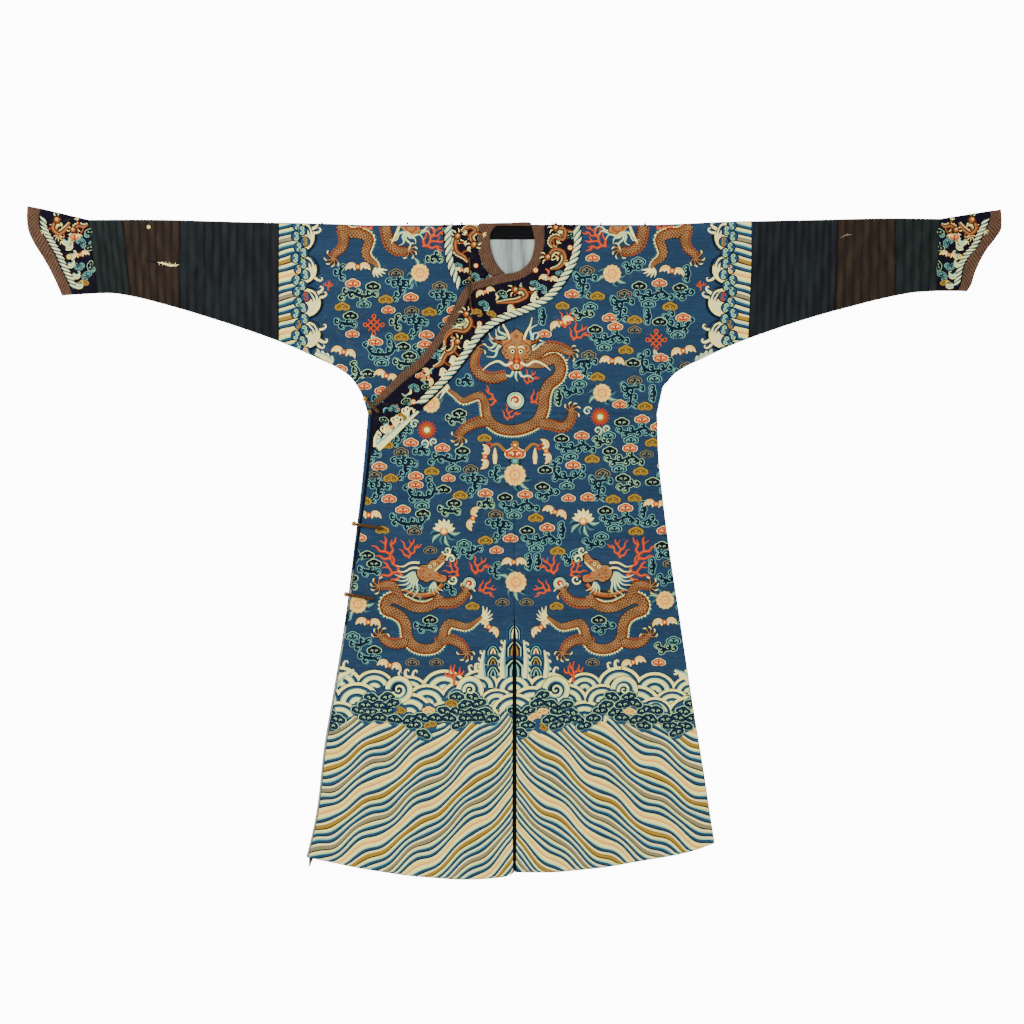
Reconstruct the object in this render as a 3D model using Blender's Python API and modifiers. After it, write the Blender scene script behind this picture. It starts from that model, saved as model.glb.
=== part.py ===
"""A Chinese dragon robe of lined silk tapestry, lying flat on a table with its front side up.

Frame: metres, +X towards the wearer's left sleeve, +Y towards the neck, +Z up off the table.
The origin lies on the table, under the middle of the robe's bounding box.

The pieces are drawn on the flat robe in two measures, both in millimetres: "across" runs from
the centre seam towards the wearer's left, and "down" runs from the shoulder fold towards the
hem. "Reach" is the distance from the centre seam on either side. Each layer lies on the one
below it: its underside is the robe's height there, and it is grown upwards by its thickness.
"""

import math

import bmesh
import bpy
import numpy as np

MM = 0.001

# Thicknesses and clearances, in millimetres.
CLOTH = 1.5
FACING = 1.2
EDGING = 1.6
LINING = 1.0
SEAM_GAP = 0.3
LAYER_GAP = 0.5
FLAP_GAP = 0.9
COLLAR_GAP = 0.8
CUFF_SEAM_GAP = 0.7

# The front rests on a cushion of trapped air, which thins out towards the folded edges.
AIR = 2.5
AIR_RUN = 40.0

# The under flap stops short of the centre seam, and the outer flap steps up over it.
UNDER_FLAP_STOP = -42.0
STEP_FROM = -8.0
STEP_TO = -40.0

# The lower corner of the armhole: its distance down, and each side's reach there.
UNDERARM_DOWN = 405.7
UNDERARM_REACH = {"right": 312.9, "left": 304.3}

# The whole robe's extent, which places the frame's origin: cuff tips and lowest hem point.
RIGHT_TIP_REACH = 1041.1
LEFT_TIP_REACH = 1040.0
TIP_DOWN = -38.6
HEM_DOWN = 1398.8

# Sign of "across" on each side, with the wearer's left at +X.
SIDES = {"right": -1.0, "left": 1.0}

# Shoulder fold: reach, down.
SHOULDER = {
    "right": ((0, 0), (80, 3), (300, 3), (394, 0), (608, -5), (760, -9), (909.2, -9)),
    "left": ((0, 0), (80, 2), (300, 2), (439, -4), (652, -9), (790, -12), (908.7, -11)),
}

# Underside of the sleeve, from the underarm to the cuff seam: reach, down.
UNDERSIDE = {
    "right": (
        (312.9, 405.7), (321.4, 375.9), (344.9, 333), (375, 309), (413, 290.4),
        (479, 260.5), (565, 228.5), (650, 200.7), (736, 175), (821, 153.8),
        (855, 148.6), (889.4, 148.4),
    ),
    "left": (
        (304.3, 405.7), (309, 375.9), (330, 333), (360, 308), (396, 290.4),
        (460, 260.5), (546, 228.5), (631, 200.7), (716.5, 177), (802, 155.9),
        (850, 147), (901.4, 143.5),
    ),
}

# Side edge of the skirt, from the underarm to the hem corner: down, reach.
SIDE_EDGE = {
    "right": (
        (405.7, 312.9), (504, 321.4), (590, 330), (675, 340.6), (846, 362),
        (1016, 389.7), (1102, 404.7), (1273, 426), (1351.8, 444.2),
    ),
    "left": (
        (405.7, 304.3), (504, 308), (590, 317.1), (675, 327.8), (846, 353.4),
        (1016, 379), (1187, 406.8), (1273, 419.6), (1321.9, 427.1),
    ),
}

# Hem of each front half: reach, down.
HEM = {
    "right": (
        (0, 1384), (12, 1390.2), (50, 1396.6), (95, 1398.8), (185, 1394.5),
        (296, 1380.6), (358, 1368.9), (444.2, 1351.8),
    ),
    "left": (
        (0, 1383.8), (76, 1383.8), (155, 1377.4), (291.5, 1356), (385.5, 1336.9),
        (427.1, 1321.9),
    ),
}

# Front vent: down, half of the gap between the two fronts.
VENT = ((405.7, 0.15), (835, 0.15), (888, 3.2), (974, 4.3), (1300, 4.1), (1399, 2.6))

# Outer flap's side edge: down, distance inside the silhouette, width of its binding.
FLAP_SIDE = (
    (405.7, 6.5, 5.0), (500, 7.5, 5.5), (590, 6.0, 5.0), (675, 4.0, 4.2),
    (760, 3.0, 3.4), (930, 2.0, 2.6), (1352, 1.5, 2.2),
)

# Sleeve seams, from the upper sleeve to the cuff: reach at the fold, reach at the underside.
SEAMS = {
    "right": ((502.9, 502.9), (714.4, 714.4), (836.7, 819.6), (909.2, 889.4)),
    "left": ((509.3, 498.6), (690.8, 684.4), (812.6, 812.6), (908.7, 901.4)),
}

# Ribbed sleeve lengths, from the upper sleeve to the cuff: name, number of ribs.
SLEEVE_BANDS = (("navy", 12), ("brown", 7), ("green", 5))
RIB_HEIGHT = 1.0
GROOVE_SHARE = 0.15

# Cuff lines from the fold to the underside: reach, down. The hoof curves out past the wrist.
CUFF_INNER = {
    "right": (
        (1010.5, -33.1), (1014.8, -15.4), (1012.2, 9.4), (1000.7, 32.3),
        (981.7, 64.7), (966.4, 99.1), (955, 121.7), (943.1, 151.6),
    ),
    "left": (
        (1015.8, -28.2), (1014.5, -7.3), (1002.6, 20.3), (989.8, 47.6),
        (971.6, 69.4), (960.8, 89.5), (956.9, 105.9), (953.3, 127.9), (946, 143.5),
    ),
}
CUFF_WRIST = {
    "right": (
        (1040.0, -38.6), (1041.1, -15), (1038, 13), (1027.4, 38), (1008.4, 68.3),
        (993, 95.2), (979.8, 121.7), (966.3, 153.3),
    ),
    "left": (
        (1038.6, -31.2), (1040.0, -4.3), (1038.8, 11.7), (1026.3, 31.2),
        (1008.1, 54.9), (993.4, 80.5), (982.5, 105.9), (974, 132), (966, 144.3),
    ),
}

# Neckline of the two panels that reach the neck, from the shoulder to its lowest point.
NECKLINE = {
    "right": ((-65, 2), (-65, 34), (-61, 66), (-52, 90), (UNDER_FLAP_STOP, 101)),
    "left": ((52.3, 2), (52.3, 34), (46, 68), (27, 96), (0.15, 113)),
}

# Outer flap's slanting edge, from the centre seam to its side: across, down.
FLAP_EDGE = (
    (-300.0, 390), (-296.8, 383), (-239, 322.5), (-197.5, 288.3), (-162.3, 242.4),
    (-127, 185.8), (-113.2, 158), (-103.6, 143.1), (-92, 133.5), (-78, 128.1),
    (-49.5, 118.5), (-31.8, 113), (-20.3, 112), (-0.15, 113),
)

# Outer edging, round the neck and down the slant: inner across, down, outer across, down.
OUTER_EDGING = (
    (35.2, 3.4, 63.9, 1.7), (39.5, 17, 63.9, 17), (42.5, 34, 63.6, 36.3),
    (39.9, 59.8, 59.8, 64.1), (33.1, 79, 52.3, 87.6), (20.3, 94, 35.2, 105.7),
    (1.1, 103.6, 10.7, 118.5), (-20.3, 107.4, -17.1, 124.9), (-48, 113.2, -45.9, 131.5),
    (-75.8, 121.7, -71.5, 137.5), (-96.1, 130.3, -86.5, 143.1),
    (-111, 144.1, -96.1, 154.8), (-123.9, 168.7, -107.8, 179.4),
    (-144.1, 205, -128.1, 214.6), (-171.9, 247.7, -157, 257.3),
    (-206.1, 289.4, -192.2, 302.2), (-244.5, 320.3, -232.8, 335.3),
    (-274.4, 351.3, -264.8, 364.1), (-300.0, 378.6, -293.2, 388),
)

# Outer edge of the outer collar facing, one row for each row of the edging and one to end it.
OUTER_FACING = (
    (142, 1.7), (142.6, 17), (143.1, 36.3), (137.7, 68.3), (120.7, 108.9), (97.2, 142),
    (65.1, 168.7), (26.7, 191.1), (-7.5, 205), (-31, 217.8), (-43.8, 224.2),
    (-54.5, 232.8), (-69.4, 249.9), (-95, 283), (-128.1, 324.6), (-163.4, 362),
    (-201.8, 398.3), (-248.8, 439.9), (-299.5, 482),
)
OUTER_FACING_END = (-304.0, 392.0, -305.5, 487.0)

# Inner edging, from the outer flap round the right of the neck to the back: as above.
INNER_EDGING = (
    (-20.3, 105.7, -49.1, 111.5), (-32, 94, -60.9, 99.3), (-42.7, 76.9, -70.5, 81.1),
    (-50.2, 55.5, -75.8, 57.7), (-52.7, 34.2, -77.9, 34.2), (-48, 14.9, -79.4, 10.7),
    (-40.6, 6, -75.8, 0), (-31, 4.3, -52.3, -1.5), (-5.3, 4.3, -5.3, -2.5),
    (20.3, 4.3, 24.6, -3.8), (33.6, 5.3, 36.3, -2.6),
)

# Inner facing on the under flap: edge beside the ring, outer edge, from the shoulder down.
INNER_FACING = (
    (-80.1, 1.7, -153.8, 1.7), (-78.6, 34.2, -150.5, 40.6), (-76.4, 60.9, -146.3, 72.6),
    (-68.6, 88, -137.7, 100.4), (-53.6, 109, -122.8, 138.8),
)

# Large soft folds of the front, hand placed: across, down of each end, half width, height.
FOLDS = (
    (-345, 1372, -300, 1040, 30, 3.6), (-232, 1392, -214, 1120, 24, 2.6),
    (-118, 1399, -96, 1180, 26, 3.0), (92, 1384, 74, 1150, 24, 2.8),
    (196, 1372, 160, 1020, 30, 3.4), (318, 1352, 276, 1130, 26, 2.6),
    (-296, 440, -236, 520, 24, 2.0), (286, 430, 196, 300, 26, 2.4),
    (-262, 690, -120, 712, 22, 1.6), (296, 636, 150, 660, 22, 1.8),
    (250, 250, 330, 330, 24, 2.2), (-292, 360, -330, 240, 22, 1.6),
)

# Ball buttons on the side edge: across, down, height, radius, then the cord's two ends.
BUTTONS = (
    (-317.8, 373.7, 9.8, 5.6, (-313.0, 377.2), (-287.5, 404.0)),
    (-342.5, 640.0, 8.3, 5.2, (-336.9, 641.0), (-279.0, 650.5)),
    (-359.0, 790.5, 8.3, 5.2, (-353.4, 790.8), (-298.5, 800.5)),
)
CORD_RADIUS = 2.2
TOGGLE_STRAP = ((-96.0, 72.0), (-93.0, 180.0))
TOGGLE_KNOT = (-96.0, 118.5, 5.4)

# Sheets inside the neck: across at each side, down at the top and bottom.
BACK_FACING_BOX = (-61.5, 49.0, 2.0, 33.0)
LINING_BOX = (-72.0, 58.0, 33.5, 128.0)

# Tip of the under flap's hem corner, which shows below the outer flap.
HEM_TIP = ((-439.0, 1353.2), (-430.0, 1355.1), (-436.5, 1371.5), (-439.2, 1372.5))

# Grid lines of the front's panels: downs of the rows above the underarm, and of the rows
# beside the centre seam; shares across the body and the upper sleeve; rows of the skirt; and
# reaches of the outer flap's columns, the last of them at its side edge.
ROW_DOWNS = (0.0, 10.0, 34.0, 70.0, 112.0, 160.0, 215.0, 275.0, 340.0, UNDERARM_DOWN)
CENTRE_DOWNS = (150.0, 205.0, 265.0, 335.0, UNDERARM_DOWN)
BODY_SHARES = (0.0, 0.09, 0.18, 0.27, 0.36, 0.45, 0.54, 0.63, 0.72, 0.81, 0.9, 0.965, 1.0)
SLEEVE_SHARES = (0.0, 0.08, 0.2, 0.4, 0.6, 0.8, 1.0)
SKIRT_ROWS = 13
FLAP_ACROSS = (0.15, 8, 16, 24, 32, 42, 64, 88, 114, 142, 170, 198, 226, 254, 280)
SETTLING_ROUNDS = 6

# The under flap's hem ends above the outer flap's, and the binding stands above its cloth.
UNDER_HEM_RISE = 3.0
BINDING_RISE = 0.2

# A flattened tube's points across it, measured from each fold, and the depths of its columns;
# the share of a column where its inner slit's tips lie; how steeply its ribs end at the folds.
TUBE_STEPS = (0.0, 2.0, 8.0, 26.0)
SLEEVE_DEPTH = 170.0
CUFF_DEPTH = 130.0
SLIT_TIP = 0.1
SLIT_RISE = 0.1
RIB_END_SHARE = 0.04
RIB_END_POWER = 0.3
CUFF_EDGING_RISE = 0.4
SHARP_ANGLE = 40.0

ORIGIN_ACROSS = (LEFT_TIP_REACH - RIGHT_TIP_REACH) / 2.0
ORIGIN_DOWN = (HEM_DOWN + TIP_DOWN) / 2.0
BACK_TOP = CLOTH + SEAM_GAP

# Colours, roughness and metallic value of each piece's cloth or metal.
FINISHES = {
    "blue_tapestry": ((0.020, 0.085, 0.190), 0.75, 0.0),
    "collar_tapestry": ((0.006, 0.005, 0.020), 0.75, 0.0),
    "brocade": ((0.180, 0.090, 0.058), 0.80, 0.0),
    "navy_silk": ((0.020, 0.024, 0.034), 0.60, 0.0),
    "brown_silk": ((0.062, 0.038, 0.027), 0.60, 0.0),
    "green_silk": ((0.023, 0.036, 0.032), 0.60, 0.0),
    "black_silk": ((0.003, 0.003, 0.004), 0.60, 0.0),
    "pale_lining": ((0.400, 0.510, 0.545), 0.70, 0.0),
    "braid": ((0.110, 0.060, 0.030), 0.70, 0.0),
    "brass": ((0.480, 0.290, 0.080), 0.35, 1.0),
}


def read(rows, at, column=1):
    """One column of a table where its first column is `at`, on a smooth curve through its rows."""
    table = np.array(rows, dtype=float)
    keys = table[:, 0]
    values = table[:, column]
    slopes = np.gradient(values, keys)
    at = np.clip(np.asarray(at, dtype=float), keys[0], keys[-1])
    low = np.clip(np.searchsorted(keys, at) - 1, 0, len(keys) - 2)
    step = keys[low + 1] - keys[low]
    t = (at - keys[low]) / step
    start = (1 + 2 * t) * (1 - t) ** 2 * values[low] + t * (1 - t) ** 2 * step * slopes[low]
    end = t**2 * (3 - 2 * t) * values[low + 1] + t**2 * (t - 1) * step * slopes[low + 1]
    return start + end


def trace(points, shares):
    """Points at the given shares of the length of a smooth curve through the given points."""
    points = np.array(points, dtype=float)
    steps = np.hypot(*np.diff(points, axis=0).T)
    lengths = np.concatenate(([0.0], np.cumsum(steps)))
    at = np.asarray(shares) * lengths[-1]
    columns = [read(np.column_stack((lengths, values)), at) for values in points.T]
    return np.column_stack(columns)


def steps(count):
    """Evenly spaced shares from 0 to 1."""
    return np.linspace(0.0, 1.0, count)


def mixed(start, end, share):
    """The value that lies a share of the way from start to end."""
    return start + (end - start) * share


def shoulder_down(side, reach):
    """Down of the shoulder fold at a reach."""
    return read(SHOULDER[side], reach)


def underside_down(side, reach):
    """Down of the sleeve's underside at a reach."""
    return read(UNDERSIDE[side], reach)


def silhouette():
    """The folded edges of the robe as line segments: one row of across, down, across, down."""
    segments = []
    for side, sign in SIDES.items():
        reach = np.linspace(0.0, SEAMS[side][3][0], 24)
        fold = np.column_stack((reach, shoulder_down(side, reach)))
        wrist = trace(CUFF_WRIST[side], steps(14))
        reach = np.linspace(SEAMS[side][3][1], UNDERARM_REACH[side], 30)
        under = np.column_stack((reach, underside_down(side, reach)))
        down = np.linspace(UNDERARM_DOWN, SIDE_EDGE[side][-1][0], 16)[1:]
        edge = np.column_stack((read(SIDE_EDGE[side], down), down))
        line = np.vstack((fold, wrist, under, edge)) * (sign, 1.0)
        segments.append(np.hstack((line[:-1], line[1:])))
    return np.vstack(segments)


def distance(points, segments):
    """Distance of each flat point to each line segment."""
    start = segments[None, :, :2]
    along = segments[None, :, 2:] - start
    offset = points[:, None, :] - start
    share = (offset * along).sum(2) / (along * along).sum(2)
    nearest = offset - np.clip(share, 0.0, 1.0)[:, :, None] * along
    return np.hypot(nearest[:, :, 0], nearest[:, :, 1])


def air(points):
    """Height of the trapped air under the front, which fades out at the folded edges."""
    edge = distance(points, EDGES).min(axis=1)
    return AIR * (1.0 - np.exp(-edge / AIR_RUN))


def folds(points):
    """Height of the soft folds: each is a rounded ridge along its own line."""
    table = np.array(FOLDS, dtype=float)
    away = distance(points, table[:, :4])
    ridges = table[:, 5] * np.exp(-((away / table[:, 4]) ** 2))
    edge = distance(points, EDGES).min(axis=1)
    return ridges.sum(axis=1) * (1.0 - np.exp(-edge / AIR_RUN))


def step_up(points):
    """Rise of the outer layers over the under flap's free edge, as a smooth step."""
    share = np.clip((points[:, 0] - STEP_FROM) / (STEP_TO - STEP_FROM), 0.0, 1.0)
    return (CLOTH + FLAP_GAP) * share**2 * (3.0 - 2.0 * share)


def under_height(points):
    """Underside of the panel that lies next above the back."""
    return BACK_TOP + air(points)


def outer_height(points):
    """Underside of the left front and the outer flap."""
    return BACK_TOP + air(points) + folds(points) + step_up(points)


def on_under(points):
    """Underside of what is sewn on the under flap."""
    return under_height(points) + CLOTH + LAYER_GAP


def on_outer(points):
    """Underside of what is sewn on the left front and the outer flap."""
    return outer_height(points) + CLOTH + LAYER_GAP


def placed(points, heights):
    """World points, in metres, of flat points and heights."""
    across = points[:, 0] - ORIGIN_ACROSS
    up = ORIGIN_DOWN - points[:, 1]
    return np.column_stack((across, up, heights)) * MM


def finish(piece, cloth):
    """Gives a piece its material and puts it in the robe's collection."""
    colour, roughness, metallic = FINISHES[cloth]
    material = bpy.data.materials.new(f"{piece.name}_{cloth}")
    material.use_nodes = True
    shader = material.node_tree.nodes["Principled BSDF"]
    shader.inputs["Base Color"].default_value = (*colour, 1.0)
    shader.inputs["Roughness"].default_value = roughness
    shader.inputs["Metallic"].default_value = metallic
    piece.data.materials.append(material)
    ROBE.objects.link(piece)
    return piece


def surface(name, patches, height):
    """An open surface through grids of flat points, joined where they share an edge."""
    build = bmesh.new()
    for patch in patches:
        rows, columns = patch.shape[:2]
        flat = patch.reshape(-1, 2)
        corners = [build.verts.new(place) for place in placed(flat, height(flat))]
        for row in range(rows - 1):
            for column in range(columns - 1):
                first = row * columns + column
                ring = (first, first + 1, first + columns + 1, first + columns)
                build.faces.new([corners[index] for index in ring])
    bmesh.ops.remove_doubles(build, verts=build.verts, dist=0.02 * MM)
    build.normal_update()
    for face in build.faces:
        if face.normal.z < 0.0:
            face.normal_flip()
    mesh = bpy.data.meshes.new(name)
    build.to_mesh(mesh)
    build.free()
    mesh.shade_smooth()
    return bpy.data.objects.new(name, mesh)


def panel(name, patches, height, thickness, cloth):
    """A piece of cloth: an open surface grown upwards by its thickness."""
    piece = finish(surface(name, patches, height), cloth)
    wall = piece.modifiers.new("wall", "SOLIDIFY")
    wall.thickness = thickness * MM
    wall.offset = 1.0
    return piece


def flat_sheet(name, outline, bottom, thickness, cloth):
    """A flat sheet from its outline: a filled 2D curve, extruded by half its thickness each way."""
    curve = bpy.data.curves.new(name, "CURVE")
    curve.dimensions = "2D"
    curve.fill_mode = "BOTH"
    curve.extrude = thickness * MM / 2.0
    spline = curve.splines.new("POLY")
    spline.points.add(len(outline) - 1)
    for point, place in zip(spline.points, placed(outline, np.zeros(len(outline)))):
        point.co = (*place, 1.0)
    spline.use_cyclic_u = True
    sheet = finish(bpy.data.objects.new(name, curve), cloth)
    sheet.location.z = (bottom + thickness / 2.0) * MM
    return sheet


def ruled(start, end, shares):
    """A grid of flat points: each row runs straight from a start point to an end point."""
    start = np.asarray(start, dtype=float)[:, None, :]
    end = np.asarray(end, dtype=float)[:, None, :]
    return mixed(start, end, np.asarray(shares)[None, :, None])


def ruled_line(start, end, count):
    """Evenly spaced flat points on a straight line."""
    return mixed(np.array(start), np.array(end), steps(count)[:, None])


def back_outline(side):
    """Outline of a back half with its upper sleeve."""
    sign = SIDES[side]
    seam_top, seam_bottom = SEAMS[side][0]
    reach = np.linspace(SEAM_GAP / 2.0, seam_top - SEAM_GAP / 2.0, 12)
    fold = np.column_stack((reach, shoulder_down(side, reach)))
    reach = np.linspace(seam_bottom - SEAM_GAP / 2.0, UNDERARM_REACH[side], 16)
    under = np.column_stack((reach, underside_down(side, reach)))
    down = np.linspace(UNDERARM_DOWN, SIDE_EDGE[side][-1][0], 14)[1:]
    edge = np.column_stack((read(SIDE_EDGE[side], down), down))
    reach = np.linspace(HEM[side][-1][0], SEAM_GAP / 2.0, 12)[1:]
    hem = np.column_stack((reach, read(HEM[side], reach)))
    return np.vstack((fold, under, edge, hem)) * (sign, 1.0)


def sleeve_patch(side, downs, shares):
    """Upper sleeve from the armhole line to its seam, with rows at shares of its depth."""
    depth = np.asarray(downs) / UNDERARM_DOWN
    seam_top, seam_bottom = np.array(SEAMS[side][0]) - SEAM_GAP / 2.0
    seam = mixed(seam_top, seam_bottom, depth)[:, None]
    reach = mixed(UNDERARM_REACH[side], seam, np.asarray(shares)[None, :])
    top = shoulder_down(side, reach)
    down = mixed(top, underside_down(side, reach), depth[:, None])
    return np.stack((SIDES[side] * reach, down), axis=2)


def skirt_patch(side, across_shares, inner, outer):
    """Lower panel from the underarm to the hem, between an inner and an outer reach.

    The hem is a curve of the reach, and both edges are curves of the distance down, so each
    point is settled in a few rounds: its reach from its down, then its down from its reach.
    """
    depth = steps(SKIRT_ROWS)[:, None]
    down = UNDERARM_DOWN + depth * (HEM_DOWN - UNDERARM_DOWN) + 0.0 * np.asarray(across_shares)
    for _ in range(SETTLING_ROUNDS):
        reach = mixed(inner(down), outer(down), np.asarray(across_shares)[None, :])
        down = UNDERARM_DOWN + depth * (read(HEM[side], reach) - UNDERARM_DOWN)
    return np.stack((SIDES[side] * reach, down), axis=2)


def vent_edge(down):
    """Reach of a front's centre edge, which parts below the vent's top."""
    return np.interp(down, *np.array(VENT).T)


def flap_inset(down):
    """Distance of the outer flap's cloth inside the silhouette, past its binding."""
    table = np.array(FLAP_SIDE)
    inset = np.interp(down, table[:, 0], table[:, 1])
    return inset + np.interp(down, table[:, 0], table[:, 2]) + SEAM_GAP


def armhole_line(side, downs):
    """Flat points on the armhole line, from the shoulder fold to the underarm."""
    reach = np.full(len(downs), UNDERARM_REACH[side])
    top = shoulder_down(side, UNDERARM_REACH[side])
    down = mixed(top, UNDERARM_DOWN, np.array(downs) / UNDERARM_DOWN)
    return np.column_stack((SIDES[side] * reach, down))


def make_left_front():
    """Left front with its upper sleeve, from the neck to the hem."""
    neck = trace(NECKLINE["left"], steps(5))
    seam = np.column_stack((np.full(len(CENTRE_DOWNS), SEAM_GAP / 2.0), CENTRE_DOWNS))
    yoke = ruled(np.vstack((neck, seam)), armhole_line("left", ROW_DOWNS), BODY_SHARES)
    sleeve = sleeve_patch("left", ROW_DOWNS, SLEEVE_SHARES)
    skirt = skirt_patch(
        "left", BODY_SHARES, vent_edge, lambda down: read(SIDE_EDGE["left"], down)
    )
    panel("left_front", (yoke, sleeve, skirt), outer_height, CLOTH, "blue_tapestry")


def make_under_flap():
    """The wearer's own right front, which lies under the outer flap, with its upper sleeve."""
    neck = trace(NECKLINE["right"], steps(5))
    edge = np.column_stack((np.full(len(CENTRE_DOWNS), UNDER_FLAP_STOP), CENTRE_DOWNS))
    shares = BODY_SHARES[::2]
    yoke = ruled(np.vstack((neck, edge)), armhole_line("right", ROW_DOWNS), shares)
    sleeve = sleeve_patch("right", ROW_DOWNS, SLEEVE_SHARES)
    skirt = skirt_patch(
        "right",
        shares,
        lambda down: np.full_like(down, -UNDER_FLAP_STOP),
        lambda down: read(SIDE_EDGE["right"], down),
    )
    skirt[-1, :, 1] -= UNDER_HEM_RISE
    panel("under_flap", (yoke, sleeve, skirt), under_height, CLOTH, "blue_tapestry")


def make_outer_flap():
    """Outer flap below its slanting edge, with the binding on its side edge."""
    outermost = UNDERARM_REACH["right"] - flap_inset(UNDERARM_DOWN)
    reach = np.append(FLAP_ACROSS, outermost)
    top = np.interp(-reach, *np.array(FLAP_EDGE).T)
    depth = steps(8)[:, None]
    down = mixed(top[None, :], UNDERARM_DOWN, depth)
    across = np.broadcast_to(-reach[None, :], down.shape)
    upper = np.stack((across, down), axis=2)
    shares = (reach - reach[0]) / (reach[-1] - reach[0])
    skirt = skirt_patch(
        "right",
        shares,
        vent_edge,
        lambda down: read(SIDE_EDGE["right"], down) - flap_inset(down),
    )
    panel("outer_flap", (upper, skirt), outer_height, CLOTH, "blue_tapestry")
    inner = np.vstack(((-reach[-1], top[-1]), skirt[:, -1])) - (SEAM_GAP, 0.0)
    width = np.interp(inner[:, 1], *np.array(FLAP_SIDE)[:, (0, 2)].T)
    binding = ruled(inner, inner - width[:, None] * (1.0, 0.0), (0.0, 1.0))
    height = CLOTH + BINDING_RISE
    panel("outer_flap_binding", (binding,), outer_height, height, "black_silk")


def strip(name, rows, shares, height, thickness, cloth, finer=2):
    """A long strip between two smooth edges: rows of inner across, down, outer across, down."""
    table = np.array(rows, dtype=float)
    middle = (table[:, :2] + table[:, 2:]) / 2.0
    length = np.concatenate(([0.0], np.cumsum(np.hypot(*np.diff(middle, axis=0).T))))
    at = np.interp(steps(finer * (len(rows) - 1) + 1) * (len(rows) - 1), range(len(rows)), length)
    columns = [read(np.column_stack((length, column)), at) for column in table.T]
    inner = np.column_stack(columns[:2])
    outer = np.column_stack(columns[2:])
    panel(name, (ruled(inner, outer, shares),), height, thickness, cloth)


def set_off(rows, gap):
    """The rows of a strip with its inner edge moved towards its outer edge by a gap."""
    table = np.array(rows, dtype=float)
    toward = table[:, 2:] - table[:, :2]
    table[:, :2] += toward / np.hypot(*toward.T)[:, None] * gap
    return table


def make_collar():
    """Brocade edgings and tapestry facings of the neck and the outer flap's slant."""
    strip("collar_edging_outer", OUTER_EDGING, steps(3), on_outer, EDGING, "brocade")
    strip("collar_edging_inner", INNER_EDGING, steps(3), on_under, EDGING, "brocade")
    rows = [(*edge[2:], *border) for edge, border in zip(OUTER_EDGING, OUTER_FACING)]
    outer = set_off((*rows, OUTER_FACING_END), COLLAR_GAP)
    strip("collar_facing_outer", outer, steps(5), on_outer, FACING, "collar_tapestry")
    inner = set_off(INNER_FACING, COLLAR_GAP)
    strip("collar_facing_inner", inner, steps(5), on_under, FACING, "collar_tapestry")


def make_neck_inside():
    """Black back facing and pale lining, which lie on the back where they show in the neck."""
    for name, box, cloth in (
        ("back_neck_facing", BACK_FACING_BOX, "black_silk"),
        ("neck_lining", LINING_BOX, "pale_lining"),
    ):
        left, right, top, bottom = box
        outline = np.array(((left, top), (right, top), (right, bottom), (left, bottom)), float)
        flat_sheet(name, outline, BACK_TOP, LINING, cloth)


def tube(name, columns, ribs, cloth, proud=0.0):
    """A flattened tube, open at both ends: flat underneath, ribbed on top, plain inside.

    Each column is a line of flat points from the fold to the underside. Its outer ring runs
    from a foot on the table up round the fold, over the top and down to the other foot. Its
    inner ring is the slit between the two walls.
    """
    count, rows = columns.shape[:2]
    flat = columns.reshape(-1, 2)
    plain = (BACK_TOP + CLOTH + air(flat) + proud).reshape(count, rows)
    along = np.clip(steps(rows), RIB_END_SHARE, 1.0 - RIB_END_SHARE)
    top = plain + np.asarray(ribs)[:, None] * np.sin(np.pi * along) ** RIB_END_POWER
    top[:, 0] = CLOTH
    top[:, -1] = CLOTH
    outer = [placed(columns[:, 1], np.zeros(count))]
    outer += [placed(columns[:, row], top[:, row]) for row in range(rows)]
    outer.append(placed(columns[:, -2], np.zeros(count)))
    plain_at = sorted({0, count // 3, 2 * count // 3, count - 1})
    inside = plain[plain_at] - CLOTH - proud
    slit = np.full(len(plain_at), CLOTH + SLIT_RISE)
    tips = [
        mixed(columns[plain_at, near], columns[plain_at, far], SLIT_TIP)
        for near, far in ((1, 2), (-2, -3))
    ]
    inner = [placed(columns[plain_at, row], inside[:, row]) for row in range(2, rows - 2)]
    inner = [placed(tips[0], slit), *inner, placed(tips[1], slit)]
    build = bmesh.new()
    outer = [[build.verts.new(place) for place in line] for line in outer]
    inner = [[build.verts.new(place) for place in line] for line in inner]
    for ring in (outer, inner):
        for line, after in zip(ring, ring[1:] + ring[:1]):
            for index in range(len(line) - 1):
                build.faces.new((line[index], line[index + 1], after[index + 1], after[index]))
    for end in (0, -1):
        left, right = inner[0][end], inner[-1][end]
        build.faces.new([line[end] for line in outer[:4]] + [inner[1][end], left])
        for row in range(3, rows - 2):
            above = (outer[row][end], outer[row + 1][end])
            build.faces.new((*above, inner[row - 1][end], inner[row - 2][end]))
        build.faces.new([line[end] for line in outer[-4:]] + [right, inner[-2][end]])
        build.faces.new((outer[-1][end], outer[0][end], left, right))
    bmesh.ops.recalc_face_normals(build, faces=build.faces)
    mesh = bpy.data.meshes.new(name)
    build.to_mesh(mesh)
    build.free()
    mesh.shade_smooth()
    mesh.set_sharp_from_angle(angle=math.radians(SHARP_ANGLE))
    finish(bpy.data.objects.new(name, mesh), cloth)


def tube_rows(length):
    """Shares of a column's length for its points, close together at the two folded edges."""
    near = np.array(TUBE_STEPS) / length
    return np.concatenate((near, (0.5,), 1.0 - near[::-1]))


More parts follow.
